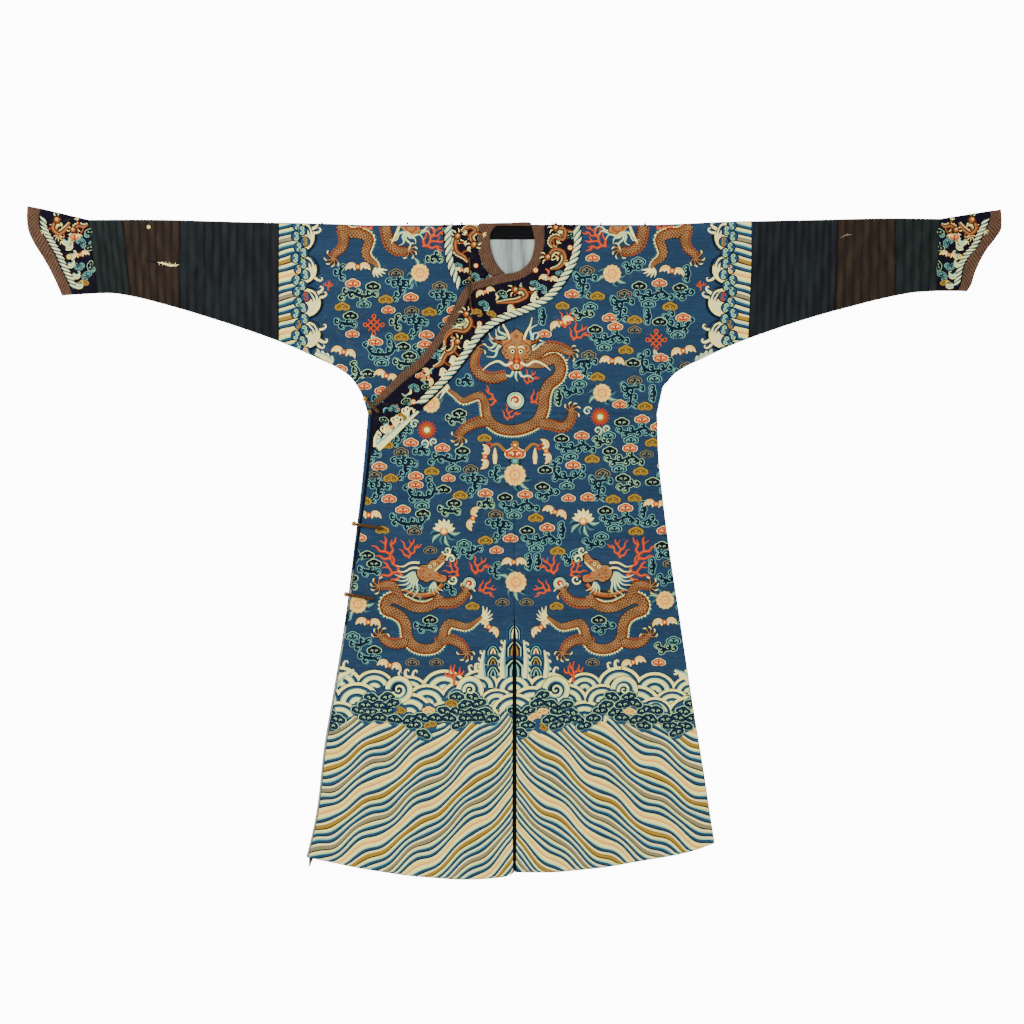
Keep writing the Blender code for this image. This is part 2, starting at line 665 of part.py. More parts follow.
def make_sleeve_bands(side):
    """The three ribbed lengths of a sleeve, each a flattened tube between two seams."""
    for place, (colour, ribs) in enumerate(SLEEVE_BANDS):
        start = np.array(SEAMS[side][place]) + SEAM_GAP / 2.0
        end = np.array(SEAMS[side][place + 1]) - SEAM_GAP / 2.0
        rib_starts = np.arange(ribs)[:, None] + (0.0, GROOVE_SHARE, 1.0 - GROOVE_SHARE)
        shares = np.append(rib_starts.ravel(), ribs) / ribs
        heights = np.append(np.tile((0.0, RIB_HEIGHT, RIB_HEIGHT), ribs), 0.0)
        depth = tube_rows(SLEEVE_DEPTH)
        fold_to_under = mixed(start[0], start[1], depth)
        reach = mixed(fold_to_under, mixed(end[0], end[1], depth), shares[:, None])
        down = mixed(shoulder_down(side, reach), underside_down(side, reach), depth[None, :])
        columns = np.stack((SIDES[side] * reach, down), axis=2)
        tube(f"{side}_sleeve_{colour}", columns, heights, f"{colour}_silk")


def make_cuff(side):
    """Horse-hoof cuff and its edging, each a flattened tube between smooth lines."""
    depth = tube_rows(CUFF_DEPTH)
    fold, under = SEAMS[side][3]
    seam = ((fold, shoulder_down(side, fold)), (under, underside_down(side, under)))
    seam = mixed(np.array(seam[0]), np.array(seam[1]), depth[:, None])
    inner = trace(CUFF_INNER[side], depth)
    wrist = trace(CUFF_WRIST[side], depth)
    nudge = np.array((CUFF_SEAM_GAP / 2.0, 0.0))
    for name, start, end, cloth, count, proud in (
        (f"{side}_cuff", seam + nudge, inner - nudge, "collar_tapestry", 7, 0.0),
        (f"{side}_cuff_edging", inner + nudge, wrist, "brocade", 4, CUFF_EDGING_RISE),
    ):
        columns = mixed(start[None], end[None], steps(count)[:, None, None])
        tube(name, columns * (SIDES[side], 1.0), np.zeros(count), cloth, proud)


def cord(name, route, radius, cloth):
    """A braided cord or strap: a round tube with filled ends along world points."""
    curve = bpy.data.curves.new(name, "CURVE")
    curve.dimensions = "3D"
    curve.bevel_depth = radius * MM
    curve.bevel_resolution = 2
    curve.use_fill_caps = True
    spline = curve.splines.new("POLY")
    spline.points.add(len(route) - 1)
    for point, place in zip(spline.points, route):
        point.co = (*place, 1.0)
    finish(bpy.data.objects.new(name, curve), cloth)


def ball(name, across, down, radius, height, cloth):
    """A small round button with its centre at a height above the table."""
    mesh = bpy.data.meshes.new(name)
    build = bmesh.new()
    bmesh.ops.create_uvsphere(build, u_segments=12, v_segments=8, radius=radius * MM)
    build.to_mesh(mesh)
    build.free()
    mesh.shade_smooth()
    piece = finish(bpy.data.objects.new(name, mesh), cloth)
    piece.location = placed(np.array(((across, down),)), np.array((height,)))[0]


def make_closures():
    """Ball buttons and braided cords on the side edge, and the toggle at the neck."""
    for number, (across, down, height, radius, near, far) in enumerate(BUTTONS, start=1):
        ball(f"side_button_{number}", across, down, radius, height, "brass")
        flat = ruled_line(near, far, 7)
        rest = on_outer(flat) + CORD_RADIUS
        if number == 1:
            rest = rest + FACING + LAYER_GAP
        cord(f"side_cord_{number}", placed(flat, rest), CORD_RADIUS, "braid")
    across, down, radius = TOGGLE_KNOT
    above = ruled_line((TOGGLE_STRAP[0]), (across, down - radius - SEAM_GAP), 5)
    below = ruled_line((across, down + radius + SEAM_GAP), (TOGGLE_STRAP[1]), 9)
    on_facing = SEAM_GAP + FACING + CORD_RADIUS
    cord("neck_strap_upper", placed(above, on_under(above) + on_facing), CORD_RADIUS, "braid")
    on_edging = LAYER_GAP + EDGING + CORD_RADIUS
    cord("neck_strap_lower", placed(below, on_outer(below) + on_edging), CORD_RADIUS, "braid")
    knot = np.array(((across, down),))
    rest = on_under(knot)[0] + FACING + SEAM_GAP + radius
    ball("neck_knot", across, down, radius, rest, "brass")


def make_robe():
    """All of the robe's pieces, from the table up."""
    for side in SIDES:
        flat_sheet(f"{side}_back", back_outline(side), 0.0, CLOTH, "blue_tapestry")
    make_neck_inside()
    make_under_flap()
    make_left_front()
    make_outer_flap()
    make_collar()
    for side in SIDES:
        make_sleeve_bands(side)
        make_cuff(side)
    make_closures()
    flat_sheet("hem_tip", np.array(HEM_TIP), 0.0, CLOTH, "brocade")


for leftover in list(bpy.data.objects):
    bpy.data.objects.remove(leftover, do_unlink=True)
EDGES = silhouette()
ROBE = bpy.data.collections.new("dragon_robe")
bpy.context.scene.collection.children.link(ROBE)
make_robe()
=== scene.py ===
"""Dresses the flat dragon robe: cloth shells on its solids, woven figures, closures and the stage.

The robe is drawn on its flat cloth in two measures: "across" runs from the centre seam towards
the wearer's left, and "down" runs from the shoulder fold towards the hem. Cloth is measured in
millimetres. The woven figures are drawn in squares of the weaver's cartoon, SQUARE mm each.
"""

import math

import bmesh
import bpy
import numpy as np
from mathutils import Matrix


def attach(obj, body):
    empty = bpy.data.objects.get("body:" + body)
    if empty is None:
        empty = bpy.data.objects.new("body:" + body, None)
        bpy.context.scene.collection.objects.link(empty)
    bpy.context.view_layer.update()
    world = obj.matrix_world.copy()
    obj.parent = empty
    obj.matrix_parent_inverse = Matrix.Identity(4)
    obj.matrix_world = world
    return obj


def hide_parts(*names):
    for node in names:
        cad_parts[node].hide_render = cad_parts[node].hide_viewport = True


bl_info = {
    "name": "Dragon Robe",
    "version": (1, 0, 0),
    "blender": (4, 5, 0),
    "location": "View3D > Sidebar > Robe",
    "description": "Builds the cloth, woven figures and closures of a flat dragon robe",
    "category": "Add Mesh",
}

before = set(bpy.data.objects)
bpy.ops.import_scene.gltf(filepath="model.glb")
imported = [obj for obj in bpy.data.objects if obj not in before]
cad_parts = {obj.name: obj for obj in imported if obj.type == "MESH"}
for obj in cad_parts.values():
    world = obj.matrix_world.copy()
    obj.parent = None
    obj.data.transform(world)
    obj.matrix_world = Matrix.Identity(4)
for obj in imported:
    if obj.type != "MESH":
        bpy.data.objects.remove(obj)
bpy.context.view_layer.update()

MM = 0.001
SQUARE = 2.1355

# Layers of the flat robe, in millimetres: the same stack as in the solids.
CLOTH = 1.5
FACING = 1.2
EDGING = 1.6
LINING = 1.0
SEAM_GAP = 0.3
LAYER_GAP = 0.5
FLAP_GAP = 0.9
AIR = 2.5
AIR_RUN = 40.0
UNDER_FLAP_STOP = -42.0
STEP_FROM = -8.0
STEP_TO = -40.0
BACK_TOP = CLOTH + SEAM_GAP
CENTRE = SEAM_GAP / 2.0
UNDERARM_DOWN = 405.7
UNDERARM_REACH = {"right": 312.9, "left": 304.3}
ORIGIN_ACROSS = -0.55
ORIGIN_DOWN = 680.1
HEM_DOWN = 1398.8
SIDES = {"right": -1.0, "left": 1.0}

# Shoulder fold and underside of each sleeve: reach, down.
SHOULDER = {
    "right": ((0, 0), (80, 3), (300, 3), (394, 0), (608, -5), (760, -9), (909.2, -9)),
    "left": ((0, 0), (80, 2), (300, 2), (439, -4), (652, -9), (790, -12), (908.7, -11)),
}
UNDERSIDE = {
    "right": (
        (312.9, 405.7), (321.4, 375.9), (344.9, 333), (375, 309), (413, 290.4),
        (479, 260.5), (565, 228.5), (650, 200.7), (736, 175), (821, 153.8),
        (855, 148.6), (889.4, 148.4),
    ),
    "left": (
        (304.3, 405.7), (309, 375.9), (330, 333), (360, 308), (396, 290.4),
        (460, 260.5), (546, 228.5), (631, 200.7), (716.5, 177), (802, 155.9),
        (850, 147), (901.4, 143.5),
    ),
}

# Side edge of the skirt: down, reach. Hem of each half: reach, down.
SIDE_EDGE = {
    "right": (
        (405.7, 312.9), (504, 321.4), (590, 330), (675, 340.6), (846, 362),
        (1016, 389.7), (1102, 404.7), (1273, 426), (1351.8, 444.2),
    ),
    "left": (
        (405.7, 304.3), (504, 308), (590, 317.1), (675, 327.8), (846, 353.4),
        (1016, 379), (1187, 406.8), (1273, 419.6), (1321.9, 427.1),
    ),
}
HEM = {
    "right": (
        (0, 1384), (12, 1390.2), (50, 1396.6), (95, 1398.8), (185, 1394.5),
        (296, 1380.6), (358, 1368.9), (444.2, 1351.8),
    ),
    "left": (
        (0, 1383.8), (76, 1383.8), (155, 1377.4), (291.5, 1356), (385.5, 1336.9),
        (427.1, 1321.9),
    ),
}

# Front vent: down, half of its gap. Outer flap's side: down, inset, width of its binding.
VENT = ((405.7, CENTRE), (835, CENTRE), (888, 3.2), (974, 4.3), (1300, 4.1), (1399, 2.6))
FLAP_SIDE = (
    (405.7, 6.5, 5.0), (500, 7.5, 5.5), (590, 6.0, 5.0), (675, 4.0, 4.2),
    (760, 3.0, 3.4), (930, 2.0, 2.6), (1352, 1.5, 2.2),
)

# Sleeve seams and the ribbed lengths between them, with the number of ribs of each.
SEAMS = {
    "right": ((502.9, 502.9), (714.4, 714.4), (836.7, 819.6), (909.2, 889.4)),
    "left": ((509.3, 498.6), (690.8, 684.4), (812.6, 812.6), (908.7, 901.4)),
}
SLEEVE_BANDS = (("navy", 12), ("brown", 7), ("green", 5))

# Cuff lines from the fold to the underside: reach, down.
CUFF_INNER = {
    "right": (
        (1010.5, -33.1), (1014.8, -15.4), (1012.2, 9.4), (1000.7, 32.3),
        (981.7, 64.7), (966.4, 99.1), (955, 121.7), (943.1, 151.6),
    ),
    "left": (
        (1015.8, -28.2), (1014.5, -7.3), (1002.6, 20.3), (989.8, 47.6),
        (971.6, 69.4), (960.8, 89.5), (956.9, 105.9), (953.3, 127.9), (946, 143.5),
    ),
}
CUFF_WRIST = {
    "right": (
        (1040.0, -38.6), (1041.1, -15), (1038, 13), (1027.4, 38), (1008.4, 68.3),
        (993, 95.2), (979.8, 121.7), (966.3, 153.3),
    ),
    "left": (
        (1038.6, -31.2), (1040.0, -4.3), (1038.8, 11.7), (1026.3, 31.2),
        (1008.1, 54.9), (993.4, 80.5), (982.5, 105.9), (974, 132), (966, 144.3),
    ),
}

# Neckline of the panels that reach the neck, and the outer flap's slanting edge.
NECKLINE = {
    "right": ((-65, 2), (-65, 34), (-61, 66), (-52, 90), (UNDER_FLAP_STOP, 101)),
    "left": ((52.3, 2), (52.3, 34), (46, 68), (27, 96), (CENTRE, 113)),
}
FLAP_EDGE = (
    (-300.0, 390), (-296.8, 383), (-239, 322.5), (-197.5, 288.3), (-162.3, 242.4),
    (-127, 185.8), (-113.2, 158), (-103.6, 143.1), (-92, 133.5), (-78, 128.1),
    (-49.5, 118.5), (-31.8, 113), (-20.3, 112), (-CENTRE, 113),
)

# Strips of the collar: inner across, down, outer across, down.
OUTER_EDGING = (
    (35.2, 3.4, 63.9, 1.7), (39.5, 17, 63.9, 17), (42.5, 34, 63.6, 36.3),
    (39.9, 59.8, 59.8, 64.1), (33.1, 79, 52.3, 87.6), (20.3, 94, 35.2, 105.7),
    (1.1, 103.6, 10.7, 118.5), (-20.3, 107.4, -17.1, 124.9), (-48, 113.2, -45.9, 131.5),
    (-75.8, 121.7, -71.5, 137.5), (-96.1, 130.3, -86.5, 143.1),
    (-111, 144.1, -96.1, 154.8), (-123.9, 168.7, -107.8, 179.4),
    (-144.1, 205, -128.1, 214.6), (-171.9, 247.7, -157, 257.3),
    (-206.1, 289.4, -192.2, 302.2), (-244.5, 320.3, -232.8, 335.3),
    (-274.4, 351.3, -264.8, 364.1), (-300.0, 378.6, -293.2, 388),
)
OUTER_FACING = (
    (142, 1.7), (142.6, 17), (143.1, 36.3), (137.7, 68.3), (120.7, 108.9), (97.2, 142),
    (65.1, 168.7), (26.7, 191.1), (-7.5, 205), (-31, 217.8), (-43.8, 224.2),
    (-54.5, 232.8), (-69.4, 249.9), (-95, 283), (-128.1, 324.6), (-163.4, 362),
    (-201.8, 398.3), (-248.8, 439.9), (-299.5, 482),
)
OUTER_FACING_END = (-304.0, 392.0, -305.5, 487.0)
INNER_EDGING = (
    (-20.3, 105.7, -49.1, 111.5), (-32, 94, -60.9, 99.3), (-42.7, 76.9, -70.5, 81.1),
    (-50.2, 55.5, -75.8, 57.7), (-52.7, 34.2, -77.9, 34.2), (-48, 14.9, -79.4, 10.7),
    (-40.6, 6, -75.8, 0), (-31, 4.3, -52.3, -1.5), (-5.3, 4.3, -5.3, -2.5),
    (20.3, 4.3, 24.6, -3.8), (33.6, 5.3, 36.3, -2.6),
)
INNER_FACING = (
    (-80.1, 1.7, -153.8, 1.7), (-78.6, 34.2, -150.5, 40.6), (-76.4, 60.9, -146.3, 72.6),
    (-68.6, 88, -137.7, 100.4), (-53.6, 109, -122.8, 138.8),
)
COLLAR_GAP = 0.8

# Soft folds and finer creases of the front: across, down of each end, half width, height.
FOLDS = (
    (-345, 1372, -300, 1040, 30, 3.6), (-232, 1392, -214, 1120, 24, 2.6),
    (-118, 1399, -96, 1180, 26, 3.0), (92, 1384, 74, 1150, 24, 2.8),
    (196, 1372, 160, 1020, 30, 3.4), (318, 1352, 276, 1130, 26, 2.6),
    (-296, 440, -236, 520, 24, 2.0), (286, 430, 196, 300, 26, 2.4),
    (-262, 690, -120, 712, 22, 1.6), (296, 636, 150, 660, 22, 1.8),
    (250, 250, 330, 330, 24, 2.2), (-292, 360, -330, 240, 22, 1.6),
)
CREASES = (
    (-14, 470, -18, 640, 9, -0.7), (12, 500, 16, 760, 10, 0.6), (-60, 1010, -52, 1370, 9, 0.7),
    (-160, 1090, -176, 1380, 8, -0.6), (-268, 980, -282, 1290, 9, 0.7),
    (-386, 1180, -398, 1340, 8, 0.5), (48, 1060, 42, 1350, 8, -0.6),
    (128, 1030, 136, 1330, 9, 0.7), (232, 1090, 246, 1350, 8, -0.5),
    (352, 1120, 372, 1310, 9, 0.6), (96, 430, 182, 402, 8, 0.6), (-70, 560, -168, 590, 8, 0.5),
    (60, 760, 190, 742, 9, 0.5), (-236, 806, -84, 826, 9, -0.5), (228, 520, 280, 470, 7, 0.5),
    (-420, 120, -360, 250, 8, 0.5), (410, 110, 352, 232, 8, -0.5), (214, 60, 232, 250, 8, 0.4),
    (-212, 56, -224, 240, 8, 0.4), (300, 880, 180, 896, 8, 0.4),
)

BUTTONS = (
    (-317.8, 373.7, 9.8, 5.6, (-313.0, 377.2), (-287.5, 404.0)),
    (-342.5, 640.0, 8.3, 5.2, (-336.9, 641.0), (-279.0, 650.5)),
    (-359.0, 790.5, 8.3, 5.2, (-353.4, 790.8), (-298.5, 800.5)),
)
CORD_RADIUS = 2.2
TOGGLE_STRAP = ((-96.0, 72.0), (-93.0, 180.0))
TOGGLE_KNOT = (-96.0, 118.5, 5.4)
BACK_FACING_BOX = (-61.5, 49.0, 2.0, 33.0)
LINING_BOX = (-72.0, 58.0, 33.5, 128.0)
HEM_TIP = ((-439.0, 1353.2), (-430.0, 1355.1), (-436.5, 1371.5), (-439.2, 1372.5))


# ---- flat measures and heights ----------------------------------------------------------


def read(rows, at, column=1):
    """One column of a table where its first column is `at`: a cubic through its rows, whose slope at
    each row is that of its neighbours."""
    table = np.array(rows, dtype=float)
    keys, values = table[:, 0], table[:, column]
    slopes = np.gradient(values, keys)
    at = np.clip(np.asarray(at, dtype=float), keys[0], keys[-1])
    low = np.clip(np.searchsorted(keys, at) - 1, 0, len(keys) - 2)
    step = keys[low + 1] - keys[low]
    t = (at - keys[low]) / step
    start = (1 + 2 * t) * (1 - t) ** 2 * values[low] + t * (1 - t) ** 2 * step * slopes[low]
    end = t**2 * (3 - 2 * t) * values[low + 1] + t**2 * (t - 1) * step * slopes[low + 1]
    return start + end


def distances_along(line):
    """Distance of each point of a flat line from its start: the running sum of its steps."""
    return np.concatenate(([0.0], np.cumsum(np.hypot(*np.diff(line, axis=0).T))))


def length_of(path):
    """Length of a flat line: the sum of the steps between its points."""
    return np.hypot(*np.diff(np.asarray(path, dtype=float), axis=0).T).sum()


def trace(points, shares):
    """Points at the given shares of the length of a smooth curve through the given points."""
    points = np.array(points, dtype=float)
    lengths = distances_along(points)
    at = np.asarray(shares) * lengths[-1]
    return np.column_stack([read(np.column_stack((lengths, v)), at) for v in points.T])


def steps(count):
    """Evenly spaced shares from 0 to 1."""
    return np.linspace(0.0, 1.0, count)


def mixed(start, end, share):
    """The value that lies a share of the way from start to end."""
    return start + (end - start) * share


def silhouette():
    """The folded edges of the robe as line segments: one row of across, down, across, down."""
    segments = []
    for side, sign in SIDES.items():
        reach = np.linspace(0.0, SEAMS[side][3][0], 24)
        fold = np.column_stack((reach, read(SHOULDER[side], reach)))
        wrist = trace(CUFF_WRIST[side], steps(14))
        reach = np.linspace(SEAMS[side][3][1], UNDERARM_REACH[side], 30)
        under = np.column_stack((reach, read(UNDERSIDE[side], reach)))
        down = np.linspace(UNDERARM_DOWN, SIDE_EDGE[side][-1][0], 16)[1:]
        edge = np.column_stack((read(SIDE_EDGE[side], down), down))
        line = np.vstack((fold, wrist, under, edge)) * (sign, 1.0)
        segments.append(np.hstack((line[:-1], line[1:])))
    return np.vstack(segments)


def distance(points, segments):
    """Distance of each flat point to each line segment."""
    start = segments[None, :, :2]
    along = segments[None, :, 2:] - start
    offset = points[:, None, :] - start
    share = (offset * along).sum(2) / (along * along).sum(2)
    nearest = offset - np.clip(share, 0.0, 1.0)[:, :, None] * along
    return np.hypot(nearest[:, :, 0], nearest[:, :, 1])


def in_turn(work, points, at_once=20000):
    """The values of work for flat points, a batch at a time."""
    batches = np.array_split(points, max(1, len(points) // at_once))
    return np.concatenate([work(batch) for batch in batches])


EDGES = silhouette()


def inward(points):
    """Share from 0 at the folded edges towards 1 well inside them."""
    edge = in_turn(lambda batch: distance(batch, EDGES).min(axis=1), points)
    return 1.0 - np.exp(-edge / AIR_RUN)


def ridges(points, table):
    """Height of ridges, each falling away from its own line as a bell curve."""
    table = np.array(table, dtype=float)

    def work(batch):
        away = distance(batch, table[:, :4])
        return (table[:, 5] * np.exp(-((away / table[:, 4]) ** 2))).sum(axis=1)

    return in_turn(work, points)


def step_up(points):
    """Rise of the outer layers over the under flap's free edge, as a smooth step."""
    share = np.clip((points[:, 0] - STEP_FROM) / (STEP_TO - STEP_FROM), 0.0, 1.0)
    return (CLOTH + FLAP_GAP) * share**2 * (3.0 - 2.0 * share)


def under_height(points):
    """Underside of the panel that lies next above the back."""
    return BACK_TOP + AIR * inward(points)


def outer_height(points):
    """Underside of the left front and the outer flap: air, folds, creases and the step."""
    inner = inward(points)
    soft = ridges(points, FOLDS) + ridges(points, CREASES)
    return BACK_TOP + AIR * inner + soft * inner + step_up(points)


def over(height, rise):
    """The same height raised by a rise."""
    return lambda points: height(points) + rise


def flat_at(level):
    """A height that is the same everywhere."""
    return lambda points: np.full(len(points), level)


def placed(points, heights):
    """World points, in metres, of flat points and heights."""
    return np.column_stack((points[:, 0] - ORIGIN_ACROSS, ORIGIN_DOWN - points[:, 1], heights)) * MM


# ---- meshes -------------------------------------------------------------------------------


def mesh_piece(name, points, faces, hues=None, maps=None, weld=2e-6):
    """A piece from whole arrays: world points, quads, and each quad's hue or each point's map.

    Points that fall together are welded, faces without area are dropped, and the hue of each
    face is kept as an attribute of its corners.
    """
    mesh = bpy.data.meshes.new(name)
    mesh.vertices.add(len(points))
    mesh.vertices.foreach_set("co", np.ascontiguousarray(points, dtype=np.float32).ravel())
    mesh.loops.add(faces.size)
    mesh.loops.foreach_set("vertex_index", np.ascontiguousarray(faces, dtype=np.int32).ravel())
    mesh.polygons.add(len(faces))
    mesh.polygons.foreach_set("loop_start", np.arange(0, faces.size, faces.shape[1], dtype=np.int32))
    mesh.update(calc_edges=True)
    if hues is not None:
        colour = mesh.attributes.new("hue", "FLOAT_COLOR", "CORNER")
        whole = np.column_stack((hues, np.ones(len(hues))))
        colour.data.foreach_set("color", np.repeat(whole, faces.shape[1], axis=0).ravel())
    if maps is not None:
        layer = mesh.uv_layers.new(name="weave")
        layer.uv.foreach_set("vector", maps[faces.ravel()].astype(np.float32).ravel())
    build = bmesh.new()
    build.from_mesh(mesh)
    bmesh.ops.remove_doubles(build, verts=build.verts, dist=weld)
    bmesh.ops.dissolve_degenerate(build, edges=build.edges, dist=weld)
    loose = [vertex for vertex in build.verts if not vertex.link_faces]
    bmesh.ops.delete(build, geom=loose, context="VERTS")
    build.to_mesh(mesh)
    build.free()
    mesh.shade_smooth()
    piece = bpy.data.objects.new(name, mesh)
    bpy.context.scene.collection.objects.link(piece)
    return piece


def quads_of(rows, columns, first=0, closed=False):
    """Corner indices of the quads between neighbours of a grid, closed round its columns or not."""
    index = np.arange(rows * columns).reshape(rows, columns) + first
    if closed:
        index = np.hstack((index, index[:, :1]))
    ring = (index[:-1, :-1], index[1:, :-1], index[1:, 1:], index[:-1, 1:])
    return np.stack(ring, axis=2).reshape(-1, 4)


def facing_up(points, faces):
    """The faces, each turned so that its normal points up."""
    cross = points[faces[:, 2]] - points[faces[:, 0]]
    other = points[faces[:, 3]] - points[faces[:, 1]]
    turned = cross[:, 0] * other[:, 1] - cross[:, 1] * other[:, 0] < 0.0
    return np.where(turned[:, None], faces[:, ::-1], faces)


def walled(piece, thickness, offset, material):
    """Gives a piece its wall, outwards of its faces (1) or inwards (-1), and its material."""
    wall = piece.modifiers.new("wall", "SOLIDIFY")
    wall.thickness = thickness * MM
    wall.offset = offset
    piece.data.materials.append(material)
    return wall


def shell(name, patches, height, thickness, material, maps=None):
    """Cloth of even thickness: grids of flat points at their height, grown by Solidify."""
    flat = np.vstack([patch.reshape(-1, 2) for patch in patches])
    faces, first = [], 0
    for patch in patches:
        rows, columns = patch.shape[:2]
        faces.append(quads_of(rows, columns, first))
        first += rows * columns
    points = placed(flat, height(flat))
    faces = facing_up(points, np.vstack(faces))
    piece = mesh_piece(name, points, faces, maps=maps, weld=2e-5)
    walled(piece, thickness, 1.0, material).use_even_offset = True
    return piece


def area_of(piece):
    """Area of a piece's own faces, in square metres."""
    count = len(piece.data.polygons)
    areas = np.empty(count)
    piece.data.polygons.foreach_get("area", areas)
    return float(areas.sum())


def figures_of(node):
    """Names of the woven pieces that lie on a node's cloth."""
    return [name for name in (f"{node}_figures", f"{node}_wear") if name in bpy.data.objects]


LEAST_OF_CUT = 0.31


def laid_cloth(piece, node, cloth, flat):
    """Hides a node's part and hangs the piece that stands for it on the root; the cut that flat gives, width
    by length, where a tube's width goes all round, is worked out but not used."""
    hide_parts(node)
    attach(piece, "root")
    whole = flat[0] * flat[1]
    cut = min(max(area_of(piece), LEAST_OF_CUT * whole), whole)
    figures_of(node)


def ruled(start, end, shares):
    """A grid of flat points: each row runs straight from a start point to an end point."""
    start = np.asarray(start, dtype=float)[:, None, :]
    end = np.asarray(end, dtype=float)[:, None, :]
    return mixed(start, end, np.asarray(shares)[None, :, None])


def sleeve_patch(side, row_shares, column_shares):
    """Upper sleeve from the armhole line to its seam, with rows at shares of its depth."""
    depth = np.asarray(row_shares)
    top, bottom = np.array(SEAMS[side][0]) - SEAM_GAP / 2.0
    seam = mixed(top, bottom, depth)[:, None]
    reach = mixed(UNDERARM_REACH[side], seam, np.asarray(column_shares)[None, :])
    fold = read(SHOULDER[side], reach)
    down = mixed(fold, read(UNDERSIDE[side], reach), depth[:, None])
    return np.stack((SIDES[side] * reach, down), axis=2)


def skirt_patch(side, column_shares, inner, outer, row_shares):
    """Lower panel from the underarm to the hem, between an inner and an outer reach.

    Each point's reach follows from its distance down, and that from its reach along the hem
    curve, so both are settled together in a few rounds.
    """
    depth = np.asarray(row_shares)[:, None]
    down = UNDERARM_DOWN + depth * (HEM_DOWN - UNDERARM_DOWN) + 0.0 * np.asarray(column_shares)
    for _ in range(6):
        reach = mixed(inner(down), outer(down), np.asarray(column_shares)[None, :])
        down = UNDERARM_DOWN + depth * (read(HEM[side], reach) - UNDERARM_DOWN)
    return np.stack((SIDES[side] * reach, down), axis=2)


def vent_edge(down):
    """Reach of a front's centre edge, which parts below the vent's top."""
    return np.interp(down, *np.array(VENT).T)


def flap_inset(down):
    """Distance of the outer flap's cloth inside the silhouette, past its binding."""
    table = np.array(FLAP_SIDE)
    inset = np.interp(down, table[:, 0], table[:, 1])
    return inset + np.interp(down, table[:, 0], table[:, 2]) + SEAM_GAP


def yoke_patch(side, edge_reach, row_shares, column_shares):
    """Upper panel from the neckline and the centre edge to the armhole line."""
    neck = trace(NECKLINE[side], steps(60))
    sign = SIDES[side]
    seam_down = np.linspace(neck[-1][1], UNDERARM_DOWN, 60)[1:]
    seam = np.column_stack((np.full(len(seam_down), sign * edge_reach), seam_down))
    line = np.vstack((neck, seam))
    lengths = distances_along(line)
    at = np.asarray(row_shares) * lengths[-1]
    inner = np.column_stack([np.interp(at, lengths, column) for column in line.T])
    reach = UNDERARM_REACH[side]
    fold = read(SHOULDER[side], reach)
    down = mixed(fold, UNDERARM_DOWN, np.asarray(row_shares))
    armhole = np.column_stack((np.full(len(down), sign * reach), down))
    return ruled(inner, armhole, column_shares)


def back_patches(side):
    """Back half with its upper sleeve: body, sleeve and skirt grids."""
    rows, columns = steps(28), steps(26)
    top = np.column_stack((np.full(28, CENTRE), mixed(0.0, UNDERARM_DOWN, rows)))
    reach = UNDERARM_REACH[side]
    fold = read(SHOULDER[side], reach)
    armhole = np.column_stack((np.full(28, reach), mixed(fold, UNDERARM_DOWN, rows)))
    body = ruled(top, armhole, columns)
    across = body[:, :, 0]
    body[:, :, 1] = mixed(read(SHOULDER[side], across), UNDERARM_DOWN, rows[:, None])
    body[:, :, 0] *= SIDES[side]
    skirt = skirt_patch(
        side,
        columns,
        lambda down: np.full_like(down, CENTRE),
        lambda down: read(SIDE_EDGE[side], down),
        steps(60),
    )
    return body, sleeve_patch(side, rows, steps(16)), skirt


def strip_patch(rows, across_count, finer=6):
    """A long strip between two smooth edges, and its map: distance along and across, in metres."""
    table = np.array(rows, dtype=float)
    middle = (table[:, :2] + table[:, 2:]) / 2.0
    length = distances_along(middle)
    at = np.interp(steps(finer * (len(rows) - 1) + 1) * (len(rows) - 1), range(len(rows)), length)
    columns = [read(np.column_stack((length, column)), at) for column in table.T]
    inner, outer = np.column_stack(columns[:2]), np.column_stack(columns[2:])
    patch = ruled(inner, outer, steps(across_count))
    width = np.hypot(*(outer - inner).T)[:, None] * steps(across_count)[None, :]
    along = np.broadcast_to(at[:, None], width.shape)
    return patch, np.stack((along, width), axis=2).reshape(-1, 2) * MM


def set_off(rows, gap):
    """The rows of a strip with its inner edge moved towards its outer edge by a gap."""
    table = np.array(rows, dtype=float)
    toward = table[:, 2:] - table[:, :2]
    table[:, :2] += toward / np.hypot(*toward.T)[:, None] * gap
    return table


def round_over(away, radius):
    """Share of a fold's height at a distance from it: a quarter circle, then level."""
    return np.sqrt(1.0 - (1.0 - np.clip(away / radius, 0.0, 1.0)) ** 2)


TUBE_WALL, TUBE_FOOT = 1.1, 0.05
TOP_FOLD, UNDER_FOLD = 4.0, 2.5


